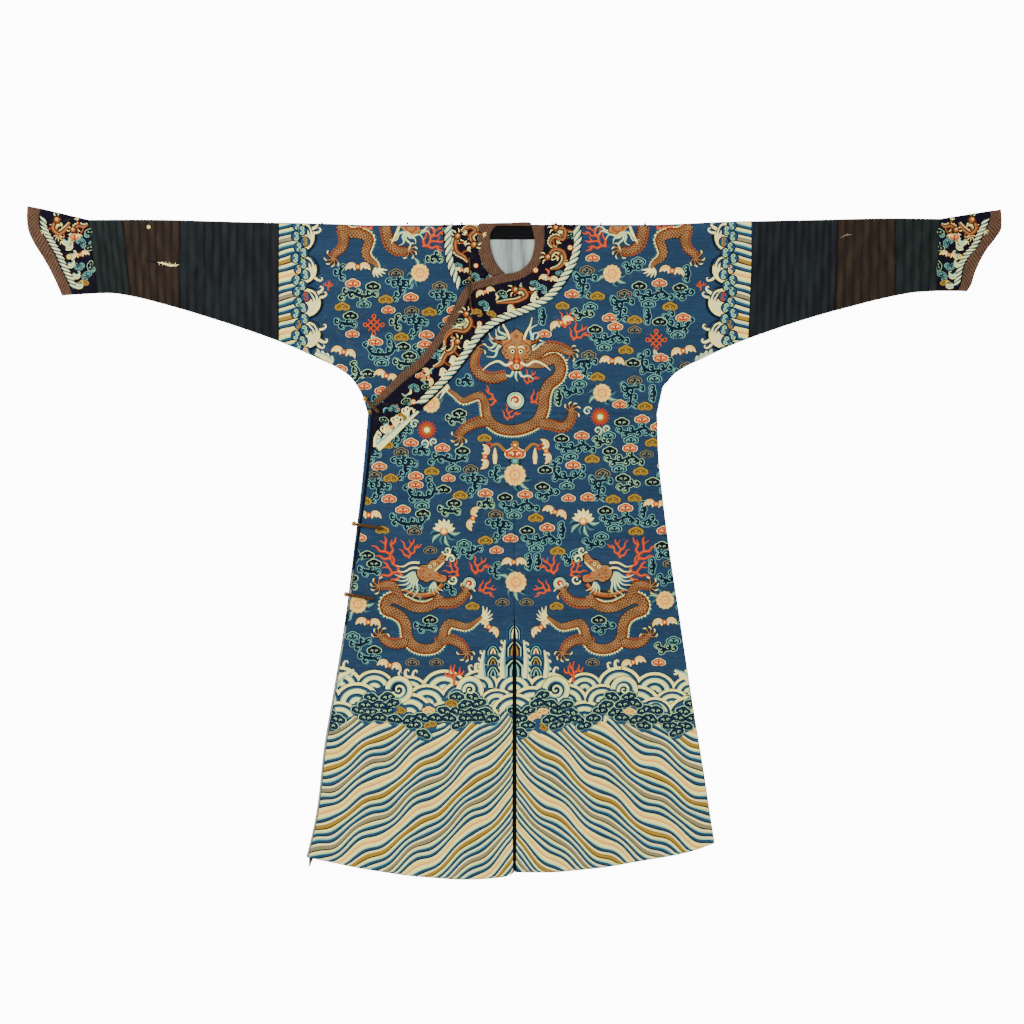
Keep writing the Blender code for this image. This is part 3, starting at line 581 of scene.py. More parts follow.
def tube_shell(name, columns, relief, proud, material, crests):
    """A flattened tube: over the top from the fold to the underside, then back flat beneath.

    Each column is a line of flat points. The top lies on the two walls and the air between them,
    rises in a quarter circle at both folds, and carries a relief. The wall is grown inwards, and
    both ends stay open.
    """
    count, rows = columns.shape[:2]
    plain = BACK_TOP + CLOTH + AIR * inward(columns.reshape(-1, 2)) + proud
    top = plain.reshape(columns.shape[:2])
    away = np.hypot(*np.moveaxis(columns - columns[:, :1], 2, 0))
    back = np.hypot(*np.moveaxis(columns - columns[:, -1:], 2, 0))
    edge = np.minimum(away, back)
    middle = (BACK_TOP + CLOTH) / 2.0
    top = middle + (top + relief - middle) * round_over(edge, TOP_FOLD)
    bottom = middle - (middle - TUBE_FOOT) * round_over(edge, UNDER_FOLD)
    flat = np.concatenate((columns, columns[:, -2:0:-1]), axis=1)
    heights = np.concatenate((top, bottom[:, -2:0:-1]), axis=1)
    points = placed(flat.reshape(-1, 2), heights.ravel())
    faces = quads_of(count, flat.shape[1], closed=True)
    up = facing_up(points, faces[:1])
    if not np.array_equal(up, faces[:1]):
        faces = faces[:, ::-1]
    share = np.concatenate((crests, crests[:, -2:0:-1]), axis=1).ravel()
    apart = np.hypot(*np.diff(columns[:, columns.shape[1] // 2], axis=0).T).mean() * MM
    along = np.broadcast_to(apart * np.arange(count)[:, None], flat.shape[:2]).ravel()
    maps = np.column_stack((share, along))
    piece = mesh_piece(name, points, faces, maps=maps, weld=1e-6)
    walled(piece, TUBE_WALL, -1.0, material)
    return piece


def tube_rows(length, count):
    """Shares of a column's length, close together at the two folded edges."""
    near = np.array((0.0, 0.3, 1.0, 2.2, 4.0)) / length
    inner = np.linspace(near[-1], 1.0 - near[-1], count)[1:-1]
    return np.concatenate((near, inner, 1.0 - near[::-1]))


# ---- dyes and finishes --------------------------------------------------------------------


def dye(red, green, blue):
    """A dyer's sample, as it is written on a colour card from 0 to 255, in linear light."""
    card = np.array((red, green, blue)) / 255.0
    return tuple(np.where(card <= 0.04045, card / 12.92, ((card + 0.055) / 1.055) ** 2.4))


DYES = {
    "ground": dye(33, 56, 80),
    "midnight": dye(15, 11, 26),
    "deep": dye(10, 24, 40),
    "teal": dye(40, 84, 100),
    "aqua": dye(112, 174, 158),
    "celadon": dye(160, 206, 150),
    "cream": dye(250, 240, 140),
    "foam": dye(240, 228, 160),
    "peach": dye(250, 206, 100),
    "apricot": dye(238, 150, 70),
    "salmon": dye(214, 96, 42),
    "coral": dye(168, 54, 26),
    "orange": dye(150, 72, 30),
    "gold": dye(154, 120, 40),
    "taupe": dye(134, 124, 90),
    "tawny": dye(158, 110, 66),
    "umber": dye(44, 27, 17),
    "blue": dye(36, 68, 96),
    "jade": dye(70, 112, 100),
}


# Bands to a metre that a Wave Texture draws at scale 1: ten for each pi.
BANDS_AT_ONE = 3.1831


class Tree:
    """A material's nodes: each is added with its settings and linked from others by their sockets."""

    def __init__(self, name, roughness, metallic=0.0, specular=0.05):
        self.material = bpy.data.materials.new(name)
        self.material.use_nodes = True
        self.links = self.material.node_tree.links
        self.shader = self.material.node_tree.nodes["Principled BSDF"]
        for name, value in (
            ("Roughness", roughness), ("Metallic", metallic), ("Specular IOR Level", specular)
        ):
            self.shader.inputs[name].default_value = value

    def add(self, kind, sockets=(), **settings):
        """A new node; sockets gives each input a value or another node's output."""
        node = self.material.node_tree.nodes.new("ShaderNode" + kind)
        for key, value in settings.items():
            setattr(node, key, value)
        for key, value in dict(sockets).items():
            if isinstance(value, bpy.types.NodeSocket):
                self.links.new(value, node.inputs[key])
            else:
                node.inputs[key].default_value = value
        return node

    def place(self, scale, turn=0.0, map_name=None):
        """Object coordinates, or a piece's own map, scaled and turned about Z."""
        if map_name:
            source = self.add("UVMap", uv_map=map_name).outputs["UV"]
        else:
            source = self.add("TexCoord").outputs["Object"]
        sockets = {"Vector": source, "Scale": scale, "Rotation": (0.0, 0.0, turn)}
        return self.add("Mapping", sockets).outputs["Vector"]

    def noise(self, scale, detail=3.0, turn=0.0, map_name=None, rough=0.55):
        """Noise stretched by three scales, from 0 to 1."""
        sockets = {"Vector": self.place(scale, turn, map_name), "Scale": 1.0}
        sockets.update({"Detail": detail, "Roughness": rough})
        return self.add("TexNoise", sockets).outputs["Fac"]

    def bands(self, scale, turn=0.0, map_name=None, bend=0.0):
        """Even bands across the first axis, scale of them to a metre, from 0 to 1."""
        place = self.place((1.0, 1.0, 1.0), turn, map_name)
        sockets = {"Vector": place, "Scale": scale / BANDS_AT_ONE, "Distortion": bend}
        sockets["Detail Scale"] = 1.5
        return self.add("TexWave", sockets).outputs["Fac"]

    def sum(self, operation, first, second=0.0, third=None):
        """A Math node's result."""
        sockets = {0: first, 1: second}
        if third is not None:
            sockets[2] = third
        return self.add("Math", sockets, operation=operation).outputs[0]

    def spread(self, value, low, high, to_low=0.0, to_high=1.0):
        """A value from low to high spread over another range and kept inside it."""
        sockets = {"Value": value, "From Min": low, "From Max": high}
        sockets.update({"To Min": to_low, "To Max": to_high})
        return self.add("MapRange", sockets, interpolation_type="SMOOTHSTEP").outputs["Result"]

    def blend(self, share, first, second, kind="MIX"):
        """Two colours mixed by a share."""
        node = self.add("Mix", data_type="RGBA", blend_type=kind)
        for key, value in (("Factor", share), (6, first), (7, second)):
            socket = node.inputs[key]
            if isinstance(value, bpy.types.NodeSocket):
                self.links.new(value, socket)
            elif isinstance(value, (int, float)):
                socket.default_value = value
            else:
                socket.default_value = (*value[:3], 1.0)
        return node.outputs[2]

    def scaled(self, colour, factor):
        """A colour times a number, as a Vector Math node."""
        return self.add("VectorMath", {0: colour, "Scale": factor}, operation="SCALE").outputs[0]

    def finish(self, colour, height=None, depth=0.0002, rough=None):
        """Connects the colour, a relief of the given depth in metres, and a varying roughness."""
        self.links.new(colour, self.shader.inputs["Base Color"])
        if height is not None:
            bump = self.add("Bump", {"Height": height, "Distance": depth, "Strength": 0.7})
            self.links.new(bump.outputs["Normal"], self.shader.inputs["Normal"])
        if rough is not None:
            self.links.new(rough, self.shader.inputs["Roughness"])
        return self.material


def tapestry(name, colour=None, streak=0.5, worn=0.12):
    """Silk tapestry: slubs along the weft, slow changes of dye, worn threads and a fine weave.

    Without a colour of its own it takes each figure's, from the attribute "hue".
    """
    tree = Tree(name, 0.72)
    sizes = bpy.context.scene.robe_sizes
    if colour is None:
        colour = tree.add("Attribute", attribute_name="hue", attribute_type="GEOMETRY").outputs["Color"]
    slub = tree.noise((26.0, 420.0, 60.0), 4.0)
    batch = tree.noise((2.2, 17.0, 5.0), 3.0)
    patch = tree.noise((90.0, 120.0, 90.0), 2.0)
    weft = tree.bands(1.0 / sizes.thread, math.pi / 2.0)
    warp = tree.bands(1.0 / (1.4 * sizes.thread))
    dark = tree.sum("MULTIPLY_ADD", slub, streak, 1.0 - 0.5 * streak)
    tone = tree.sum("MULTIPLY_ADD", batch, 0.7 * streak, 1.0 - 0.35 * streak)
    fine = tree.sum("MULTIPLY_ADD", weft, 0.10, 0.95)
    light = tree.sum("MULTIPLY", tree.sum("MULTIPLY", dark, tone), fine)
    if isinstance(colour, tuple):
        colour = tree.blend(0.0, colour, colour)
    shaded = tree.scaled(colour, light)
    faded = tree.blend(tree.spread(patch, 0.56, 0.78, 0.0, worn), shaded, DYES["taupe"])
    thread = tree.sum("ADD", weft, tree.sum("MULTIPLY", warp, 0.5))
    relief = tree.sum("ADD", thread, tree.sum("MULTIPLY", slub, 1.5))
    rough = tree.spread(slub, 0.2, 0.8, 0.62, 0.82)
    return tree.finish(faded, relief, 0.0002, rough)


def brocade(name):
    """Brown brocade: a tan fret on dark ground, of two sets of slanting lines, rubbed in places."""
    tree = Tree(name, 0.7)
    pitch = 1.0 / bpy.context.scene.robe_sizes.fret
    one = tree.bands(pitch, math.radians(38.0), "weave", 2.2)
    two = tree.bands(pitch * 1.25, math.radians(-52.0), "weave", 2.2)
    both = tree.sum("MAXIMUM", tree.spread(one, 0.45, 0.75), tree.spread(two, 0.6, 0.85))
    rub = tree.noise((70.0, 70.0, 70.0), 3.0, map_name="weave")
    dark = tree.blend(tree.spread(rub, 0.3, 0.7), dye(26, 17, 14), dye(50, 34, 27))
    light = tree.blend(rub, dye(76, 52, 40), dye(118, 88, 66))
    return tree.finish(tree.blend(both, dark, light), both, 0.0003)


def ribbed_silk(name, valley, crest, sheen_hue):
    """Ribbed silk: painted shade in the grooves and painted light on the crests, which also stands for the
    crests' fading, with streaks along the ribs.
    """
    tree = Tree(name, 0.62)
    share = tree.add("SeparateXYZ", {0: tree.place((1.0, 1.0, 1.0), 0.0, "weave")}).outputs[0]
    streak = tree.noise((130.0, 9.0, 30.0), 4.0)
    cloud = tree.noise((9.0, 12.0, 9.0), 3.0)
    lit = tree.sum("MULTIPLY", share, tree.spread(streak, 0.25, 0.75, 0.5, 1.0))
    # From the valley to the crest colour by the rib's crest share: painted shade in the grooves, painted
    # light and fading on the crests.
    colour = tree.blend(lit, valley, crest)
    colour = tree.blend(tree.spread(cloud, 0.46, 0.72, 0.0, 0.45), colour, sheen_hue)
    weft = tree.bands(1.0 / (1.6 * bpy.context.scene.robe_sizes.thread))
    relief = tree.sum("ADD", weft, tree.sum("MULTIPLY", streak, 2.0))
    return tree.finish(colour, relief, 0.00025)


def plain_silk(name, low, high, scale, roughness=0.6):
    """Plain silk or cord: two tones mixed by stretched noise, over a fine weave."""
    tree = Tree(name, roughness)
    mix = tree.spread(tree.noise(scale, 4.0), 0.3, 0.7)
    weft = tree.bands(1.0 / bpy.context.scene.robe_sizes.thread, math.pi / 2.0)
    return tree.finish(tree.blend(mix, low, high), tree.sum("ADD", weft, mix), 0.0002)


def faded_binding(name):
    """Black silk binding, worn down to its pale core towards the hem."""
    tree = Tree(name, 0.5)
    along = tree.add("SeparateXYZ", {0: tree.place((1.0, 1.0, 1.0))}).outputs[1]
    worn = tree.spread(tree.sum("ADD", along, tree.noise((30.0, 30.0, 30.0))), 0.26, 0.42, 1.0, 0.0)
    return tree.finish(tree.blend(worn, dye(8, 8, 11), dye(150, 152, 132)))


def gilt_brass(name):
    """Worn gilt brass: bright on the bosses, browner and duller where noise says so."""
    tree = Tree(name, 0.35, metallic=1.0, specular=0.5)
    wear = tree.noise((600.0, 600.0, 600.0), 4.0)
    colour = tree.blend(tree.spread(wear, 0.35, 0.65), dye(168, 126, 60), dye(78, 54, 28))
    rough = tree.spread(wear, 0.3, 0.7, 0.28, 0.6)
    return tree.finish(colour, wear, 0.0002, rough)


def pale_floor(name):
    """Pale matt table, lit evenly, with a faint grain."""
    tree = Tree(name, 0.9)
    grain = tree.noise((40.0, 40.0, 40.0), 2.0)
    colour = tree.blend(grain, dye(236, 236, 236), dye(240, 240, 240))
    tree.shader.inputs["Emission Color"].default_value = (1.0, 1.0, 1.0, 1.0)
    tree.shader.inputs["Emission Strength"].default_value = 11.0
    return tree.finish(colour)


def finish_of(name):
    """A finish by its name, made once."""
    if name in bpy.data.materials:
        return bpy.data.materials[name]
    dyes = bpy.context.scene.robe_dyes
    makers = {
        "ground": lambda: tapestry(name, tuple(dyes.ground), 1.1, 0.10),
        "collar": lambda: tapestry(name, tuple(dyes.midnight), 0.6, 0.05),
        "figures": lambda: tapestry(name),
        "brocade": lambda: brocade(name),
        "navy": lambda: ribbed_silk(name, dye(11, 11, 14), dye(36, 38, 42), dye(30, 40, 40)),
        "brown": lambda: ribbed_silk(name, dye(20, 15, 13), dye(57, 45, 35), dye(42, 31, 23)),
        "green": lambda: ribbed_silk(name, dye(12, 15, 16), dye(37, 45, 42), dye(27, 35, 40)),
        "black": lambda: plain_silk(name, dye(5, 5, 7), dye(13, 12, 15), (20.0, 300.0, 20.0), 0.5),
        "lining": lambda: plain_silk(name, dye(104, 114, 114), dye(168, 180, 173), (40.0, 5.0, 20.0)),
        "binding": lambda: faded_binding(name),
        "cord_silk": lambda: plain_silk(name, dye(30, 18, 10), dye(98, 66, 38), (500.0, 500.0, 500.0)),
        "gilt": lambda: gilt_brass(name),
        "floor": lambda: pale_floor(name),
    }
    return makers[name]()


def cuff_lines(side):
    """Lines of flat points on a cuff's seam, its edging and its wrist, from the fold down."""
    depth = tube_rows(130.0, 24)
    fold, under = SEAMS[side][3]
    top = np.array((fold, read(SHOULDER[side], fold)))
    bottom = np.array((under, read(UNDERSIDE[side], under)))
    seam = mixed(top, bottom, depth[:, None])
    return seam, trace(CUFF_INNER[side], depth), trace(CUFF_WRIST[side], depth)


# ---- the weaver's cartoon -----------------------------------------------------------------

FIRST_LIFT = 0.16
RISE = 0.12
LEVEL = 0.05


def colours(names):
    """The dyes of the given names, one row each."""
    return np.array([DYES[name] for name in names])


def moved(shape, centre=(0, 0), turn=0.0, size=1.0, flip=1.0):
    """A flat shape mirrored, scaled, turned by degrees and moved to a centre."""
    angle = math.radians(turn)
    turned = np.array(((math.cos(angle), math.sin(angle)), (-math.sin(angle), math.cos(angle))))
    return (np.asarray(shape, dtype=float) * (size * flip, size)) @ turned + centre


def circle(sides=12, radius=1.0):
    """Points round a circle."""
    angle = 2 * math.pi * np.arange(sides) / sides
    return radius * np.column_stack((np.cos(angle), np.sin(angle)))


def lobed(lobes, depth, sides_each=4):
    """A unit circle whose edge swells into lobes."""
    angle = 2 * math.pi * np.arange(lobes * sides_each) / (lobes * sides_each)
    radius = 1 - depth * (0.5 + 0.5 * np.cos(lobes * angle))
    return radius[:, None] * np.column_stack((np.cos(angle), np.sin(angle)))


def even(half_outline, count=28):
    """A closed outline, smooth and even, from one half that is given from its foot to its top."""
    half = np.array(half_outline, dtype=float)
    whole = np.vstack((half, half[-2::-1] * (-1, 1)))
    return trace(whole, np.arange(count) / count)


def coil(centre, radius, turns, start, inner=0.15, hand=1.0):
    """Points of a spiral that winds in round a centre from an angle in degrees."""
    share = steps(max(5, int(11 * turns)))
    angle = np.radians(start) + hand * 2 * math.pi * turns * share
    reach = radius * mixed(1, inner, share)
    return np.column_stack((centre[0] + reach * np.cos(angle), centre[1] - reach * np.sin(angle)))


NEAR = 64
KEPT_PITCH = 6


class Cartoon:
    """Woven figures as grids of quads, drawn in squares, with the place of each kept free."""

    def __init__(self):
        self.points, self.lifts, self.hues, self.faces = [], [], [], []
        self.kept = np.empty((0, 3))
        self.count = 0
        self.flip = 1

    def grid(self, points, lifts, hues, closed=False):
        """A grid of quads, with a lift for each point and a hue for each quad."""
        rows, columns = points.shape[:2]
        self.points.append((points * (self.flip, 1)).reshape(-1, 2))
        self.lifts.append(np.broadcast_to(lifts, (rows, columns)).ravel())
        self.faces.append(quads_of(rows, columns, self.count, closed))
        wide = columns if closed else columns - 1
        self.hues.append(np.broadcast_to(hues, (rows - 1, wide, 3)).reshape(-1, 3))
        self.count += rows * columns

    def ribbon(self, path, half, names, level=0, every=2.4):
        """Stripes side by side along a smooth path; half widths are spread evenly along it."""
        middle, normal, half = along(path, half, steps(max(4, int(length_of(path) / every) + 2)))
        cross = np.linspace(-1, 1, len(names) + 1)
        points = middle[:, None] + normal[:, None] * (half[:, None] * cross)[:, :, None]
        self.grid(points, lift_of(level) + RISE * (1 - cross**2), colours(names))

    def rings(self, outline, names, centre=(0, 0), turn=0.0, size=1.0, level=0, scales=None):
        """Nested copies of an outline round its own origin, from the outside in."""
        scales = np.linspace(1, 0, len(names) + 1) if scales is None else np.array(scales)
        nest = moved(scales[:, None, None] * np.asarray(outline)[None], centre, turn, size)
        lifts = lift_of(level) + RISE * (1 - scales[:, None] ** 2)
        self.grid(nest, lifts, colours(names)[:, None], closed=True)

    def arcs(self, centre, radii, first, last, names, level=0, squash=1.0, count=13):
        """Concentric arcs between two angles, with one stripe between each pair of radii."""
        angle = np.radians(np.linspace(first, last, count))[:, None]
        radii = np.asarray(radii, dtype=float)[None, :]
        points = np.stack((np.cos(angle) * radii, -np.sin(angle) * radii * squash), axis=2)
        middle = (radii - radii.min()) / np.ptp(radii) * 2 - 1
        self.grid(points + centre, lift_of(level) + RISE * (1 - middle**2), colours(names))

    def teeth(self, path, half, height, names, level=0, pitch=1.5, side=1.0):
        """A row of teeth along one side of a path, set off from it by the half width there."""
        shares = steps(2 * max(2, int(length_of(path) / pitch)) + 1)
        middle, normal, half = along(path, half, shares)
        tip = np.where(np.arange(len(shares)) % 2 == 1, height, 0.25 * height)
        near = middle + normal * (side * half)[:, None]
        far = middle + normal * (side * (half + tip))[:, None]
        self.grid(np.stack((near, far), axis=1), lift_of(level), colours(names))

    def keep(self, path, radius):
        """Keeps a band along a path free of clouds."""
        path = np.atleast_2d(np.asarray(path, dtype=float))
        if len(path) > 1:
            path = trace(path, steps(max(3, int(length_of(path) / KEPT_PITCH))))
        path = path * (self.flip, 1)
        self.kept = np.vstack((self.kept, np.column_stack((path, np.full(len(path), radius)))))

    def free(self, spots):
        """Whether discs, as rows of across, down and radius, are clear of every place kept."""
        spots = np.atleast_2d(spots) * (self.flip, 1, 1)
        near = self.kept[np.abs(self.kept[:, 1] - spots[0, 1]) < NEAR][:, None]
        gap = np.hypot(near[:, :, 0] - spots[:, 0], near[:, :, 1] - spots[:, 1])
        return bool((gap > near[:, :, 2] + spots[:, 2]).all())

    def woven(self, name, region, top, down=False):
        """The figures as one piece inside a region's edges, over its cloth or down beneath it."""
        drawn = np.vstack(self.points) * SQUARE
        flat = region(drawn)
        inside = np.abs(flat - drawn).max(axis=1) < 0.01
        lifts = np.concatenate(self.lifts)
        heights = top(flat) + (-0.2 * lifts if down else lifts)
        faces, hues = np.vstack(self.faces), np.vstack(self.hues)
        corners = flat[faces]
        one, two = corners[:, 2] - corners[:, 0], corners[:, 3] - corners[:, 1]
        seen = np.abs(one[:, 0] * two[:, 1] - one[:, 1] * two[:, 0]) > 0.02
        seen &= inside[faces].any(axis=1) & np.isfinite(hues).all(axis=1)
        used, faces = np.unique(faces[seen], return_inverse=True)
        points = placed(flat, heights)[used]
        faces = facing_up(points, faces.reshape(-1, 4))
        faces = faces[:, ::-1] if down else faces
        piece = mesh_piece(name, points, faces, hues=hues[seen])
        piece.data.materials.append(finish_of("figures"))
        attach(piece, "root")
        return piece


def lift_of(level):
    """Lift of a level above the cloth, in millimetres."""
    return FIRST_LIFT + LEVEL * level


def beside(middle):
    """Unit normals of a line of points."""
    along = np.gradient(middle, axis=0)
    return np.column_stack((-along[:, 1], along[:, 0])) / np.maximum(np.hypot(*along.T), 1e-9)[:, None]


def spread(values, shares):
    """Values spread evenly over shares from 0 to 1."""
    values = np.atleast_1d(np.asarray(values, dtype=float))
    if len(values) == 1:
        values = np.repeat(values, 2)
    return np.interp(shares, steps(len(values)), values)


def along(path, half, shares):
    """Points at shares of a path's length, with the unit normal and the half width at each."""
    middle = trace(path, shares)
    return middle, beside(middle), spread(half, shares)


def in_steps(path, pitch):
    """Points at an even pitch along a path, from half a pitch in, with the unit normal at each."""
    count = int(length_of(path) / pitch)
    shares = (np.arange(count) + 0.5) / max(1, count)
    normals = beside(trace(path, (*shares, 1)))[:count]
    return zip(trace(path, shares), normals)


# Ruyi head, from its notch to its top, and its edge, body, line and curls for each dye.
RUYI = even(
    (
        (0, 1.2), (2.3, 2.3), (5.3, 2), (7.8, 0.4), (8.2, -2.2), (6.7, -4.3), (4.5, -5), (2.8, -6.3),
        (0, -6.9)
    )
)
SCROLL = lobed(3, 0.16)
HEADS = {
    "coral": ("foam", "coral", "apricot", "foam"),
    "gold": ("gold", "gold", "umber", "umber"),
    "taupe": ("taupe", "deep", "taupe", "taupe"),
    "aqua": ("aqua", "deep", "aqua", "aqua"),
    "navy": ("celadon", "midnight", "midnight", "celadon"),
    "billow": ("celadon", "deep", "ground", "celadon"),
    "blush": ("peach", "peach", "salmon", "coral"),
}

# Cloud clusters: heads (across, down, dye), the stem, and the hooks that it carries.
CLOUDS = (
    (
        ((-12.6, -8.1, "navy"), (7.2, -12, "coral"), (-4.3, 9.6, "taupe")),
        ((-16.4, -5), (-11.5, 1.9), (-3.8, 2.3), (8.6, 1.9), (17.3, -5)),
    ),
    (
        ((7.2, -10.6, "coral"), (-12.9, -7.8, "navy"), (-3.8, 10.1, "aqua"), (17.7, 12.9, "gold")),
        ((-15.4, 0), (-7.7, 2.4), (1.9, 1.4), (8.7, -1.9), (18.2, 3.7)),
    ),
    (
        ((5.8, -8.1, "coral"), (-0.5, 12.6, "aqua"), (-22, -3.3, "navy")),
        ((-8, -13), (-13, -5), (-10, 3), (0, 5), (10, 3), (15, -5)),
    ),
    (
        ((4.7, -15.6, "taupe"), (15, 10.6, "gold"), (-10, 8.4, "coral")),
        ((11.7, -7.6), (2, -8), (-7.7, -6.7), (1, -1), (1, 7.7), (5.5, 9.7)),
    ),
    (((-5, -6.4, "navy"),), ((-8.6, 2.6), (-1, 2), (8.5, -0.6))),
    (((6.4, -6, "aqua"),), ((-9.4, -1), (-1, 3), (6.6, 1.6))),
    ((), ((-5.6, 1.8), (0, -1.6), (5.6, 1.2))),
    ((), ((-1.6, -5.4), (1.2, 0), (-1.6, 5.4))),
)
CLOUD_SWEEPS = (((0, 1, 2, 3), 1), ((1, 3, 0, 2), 0.84), ((4, 5), 1), ((5, 4), 0.8), ((6, 7), 1))
CLOUD_LIMIT_DOWN = (0, 110, 165, 200, 455)
CLOUD_LIMIT_REACH = (182, 178, 176, 156, 182)
CLOUD_EDGES = ("aqua", "celadon", "aqua", "aqua")
HOOK_PITCH, HOOK_REACH, HOOK_ROOM, HEAD_ROOM = 6.2, 3.1, 3.3, 3.9
HEAD_GAP, HEADS_APART = 1.4, 5
HEAD_SPREAD = 4.6
HEAD_STEP, CLOUD_STEP, CLOUD_SWAY = 6, 5, 1.5
SKY_FOOT, SKY_PITCH = 456, 4
SINGLE_HEADS = ("coral", "gold", "coral", "taupe")


def head_room(across, down):
    """Discs that a ruyi head covers: one at each end."""
    return [(across - HEAD_SPREAD, down - 0.6, HEAD_ROOM), (across + HEAD_SPREAD, down - 0.6, HEAD_ROOM)]


def cloud_shape(kind, flip, size):
    """A cluster's stem, the hooks to both sides of it and the places of its heads."""
    heads, stem = CLOUDS[kind]
    stem = moved(stem, (0, 0), 0, size, flip)
    middle = trace(stem, steps(2 + int(length_of(stem) / HOOK_PITCH)))
    offset = HOOK_REACH * np.where(np.arange(len(middle)) % 2, 1, -1)
    offset[[0, -1]] = 0
    places = [moved((across, down), (0, 0), 0, size, flip) for across, down, _ in heads]
    return stem, middle + offset[:, None] * beside(middle), places


def cloud_room(kind, flip, size):
    """Discs that a cluster of clouds covers about its own centre."""
    _, hooks, places = cloud_shape(kind, flip, size)
    room = [(*spot, HOOK_ROOM) for spot in hooks]
    for across, down in places:
        room += head_room(across, down)
    return np.array(room)


def cloud(cartoon, kind, centre, flip=1.0, edge="aqua", size=1.0):
    """A cluster of clouds: a stem and hooks of fine pale lines round a dark middle, and heads."""
    stem, hooks, places = cloud_shape(kind, flip, size)
    cartoon.ribbon(stem + centre, (1, 2.1, 2.1, 1), (edge,), 0)
    cartoon.ribbon(stem + centre, (0.5, 1.6, 1.6, 0.5), ("deep",), 3)
    for place, hook in enumerate(hooks + centre):
        hand = flip if place % 2 else -flip
        start = 95 if place % 2 else -85
        cartoon.rings(SCROLL, (edge,), hook, 60 * place, 4.1, 0)
        cartoon.rings(SCROLL, ("deep",), hook, 60 * place, 3.5, 3)
        cartoon.ribbon(coil(hook, 2.5, 0.85, start, 0.12, hand), 0.42, (edge,), 7, 1.4)
    for (across, down), (_, _, dye_name) in zip(places, CLOUDS[kind][0]):
        head(cartoon, (across + centre[0], down + centre[1]), dye_name, 0, 0.94)


def head(cartoon, centre, dye_name, turn=0.0, size=1.0, level=4):
    """A ruyi head: nested caps of its edge, body and line, and two curls at its foot."""
    edge, body, line, curls = HEADS[dye_name]
    foot = moved((0, 2), centre, turn, size)
    names = ("deep", edge, body, line, body)
    cartoon.rings(RUYI, names, foot, turn, size, level, (1.07, 1, 0.89, 0.68, 0.57, 0))
    for side in (-1, 1):
        curl = coil((2.1 * side, -0.9), 1.7, 0.9, 90 - 80 * side, 0.1, side)
        cartoon.ribbon(moved(curl, foot, turn, size), 0.4 * size, (curls,), level + 4, 1.4)


def single_heads(cartoon):
    """Ruyi heads on their own wherever one fits, never close to another."""
    for row, down in enumerate(np.arange(10, SKY_FOOT, SKY_PITCH)):
        for place in range(38):
            for side in (1, -1):
                spot = (side * HEAD_STEP * (1 + place), down)
                room = np.array(head_room(*spot))
                if cartoon.free(room + (0, 0, HEAD_GAP)):
                    head(cartoon, spot, SINGLE_HEADS[(row // 3 + place) % 4], 0, 0.86)
                    cartoon.kept = np.vstack((cartoon.kept, room + (0, 0, HEADS_APART)))
    cartoon.kept[cartoon.kept[:, 2] == HEAD_ROOM + HEADS_APART, 2] = HEAD_ROOM


def cloud_field(cartoon, chance):
    """Clusters of clouds wherever one fits, from large to small, and single heads between."""
    for kinds, size in CLOUD_SWEEPS:
        rooms = {(kind, side): cloud_room(kind, side, size) for kind in kinds for side in (1, -1)}
        for row, down in enumerate(np.arange(9, SKY_FOOT, SKY_PITCH)):
            limit = np.interp(down, CLOUD_LIMIT_DOWN, CLOUD_LIMIT_REACH)
            for place, across in enumerate(np.arange(4, limit, CLOUD_STEP)):
                for side in (1, -1):
                    reach = across + chance.uniform(-CLOUD_SWAY, CLOUD_SWAY)
                    spot = np.array((side * reach, down + chance.uniform(-CLOUD_SWAY, CLOUD_SWAY)))
                    if not cartoon.free((*spot, 2)):
                        continue
                    for turn in range(len(kinds)):
                        kind = kinds[(row + place + turn) % len(kinds)]
                        room = rooms[kind, side] + (*spot, 0)
                        if cartoon.free(room):
                            cloud(cartoon, kind, spot, side, CLOUD_EDGES[(row + place) % 4], size)
                            cartoon.kept = np.vstack((cartoon.kept, room))
                            break
        if len(kinds) == 2 and size < 1:
            single_heads(cartoon)


# ---- waves, rocks and stripes -----------------------------------------------------------

STRIPES = (
    ("foam", "gold", "gold", "gold", "umber"),
    ("cream", "celadon", "teal", "blue", "deep"),
    ("foam", "aqua", "teal", "blue", "deep"),
    ("foam", "taupe", "taupe", "taupe", "deep"),
    ("cream", "celadon", "teal", "blue", "deep"),
    ("foam", "celadon", "blue", "blue", "deep"),
    ("cream", "peach", "peach", "apricot", "cream"),
    ("cream", "celadon", "blue", "blue", "deep"),
)
STRIPE_CUTS = (0, 0.3, 0.48, 0.62, 0.82, 1)
STRIPE_PITCH, STRIPES_FROM_TO = 7, (352, 662)
WATER_TOP = 482


def stripe_fall(reach, number):
    """How far a stripe has fallen at a reach from the vent: an easing slope and two ripples."""
    ripple = (3.3 + 0.7 * math.sin(0.7 * number)) * np.sin(reach / 8.6 + 0.6 - 0.055 * number)
    return 0.9 * reach - 0.00105 * reach**2 + ripple + 0.6 * np.sin(reach / 4.4 + 0.9 * number)


def standing_water(cartoon):
    """Slanting stripes of deep water, from the vent down to both sides, ridge beside ridge."""
    reach = np.concatenate((np.arange(0, 214, 3.9), (216,)))
    cuts = np.array(STRIPE_CUTS)
    for number, start in enumerate(np.arange(*STRIPES_FROM_TO, STRIPE_PITCH)):
        fall = stripe_fall(reach, number)[:, None]
        after = STRIPE_PITCH + stripe_fall(reach, number + 1)[:, None]
        down = np.maximum(start + mixed(fall, after, cuts[None, :]), WATER_TOP)
        lifts = lift_of(0) + 0.22 * np.sin(math.pi * cuts)[None, :]
        for side in (1, -1):
            names = STRIPES[(number + (0 if side < 0 else 3)) % len(STRIPES)]
            across = np.broadcast_to(side * reach[:, None], down.shape)
            cartoon.grid(np.stack((across, down), axis=2), lifts, colours(names))


FOAM_HOOK = ((0, 0), (2.6, 0), (4, 1.6), (3, 2.8))


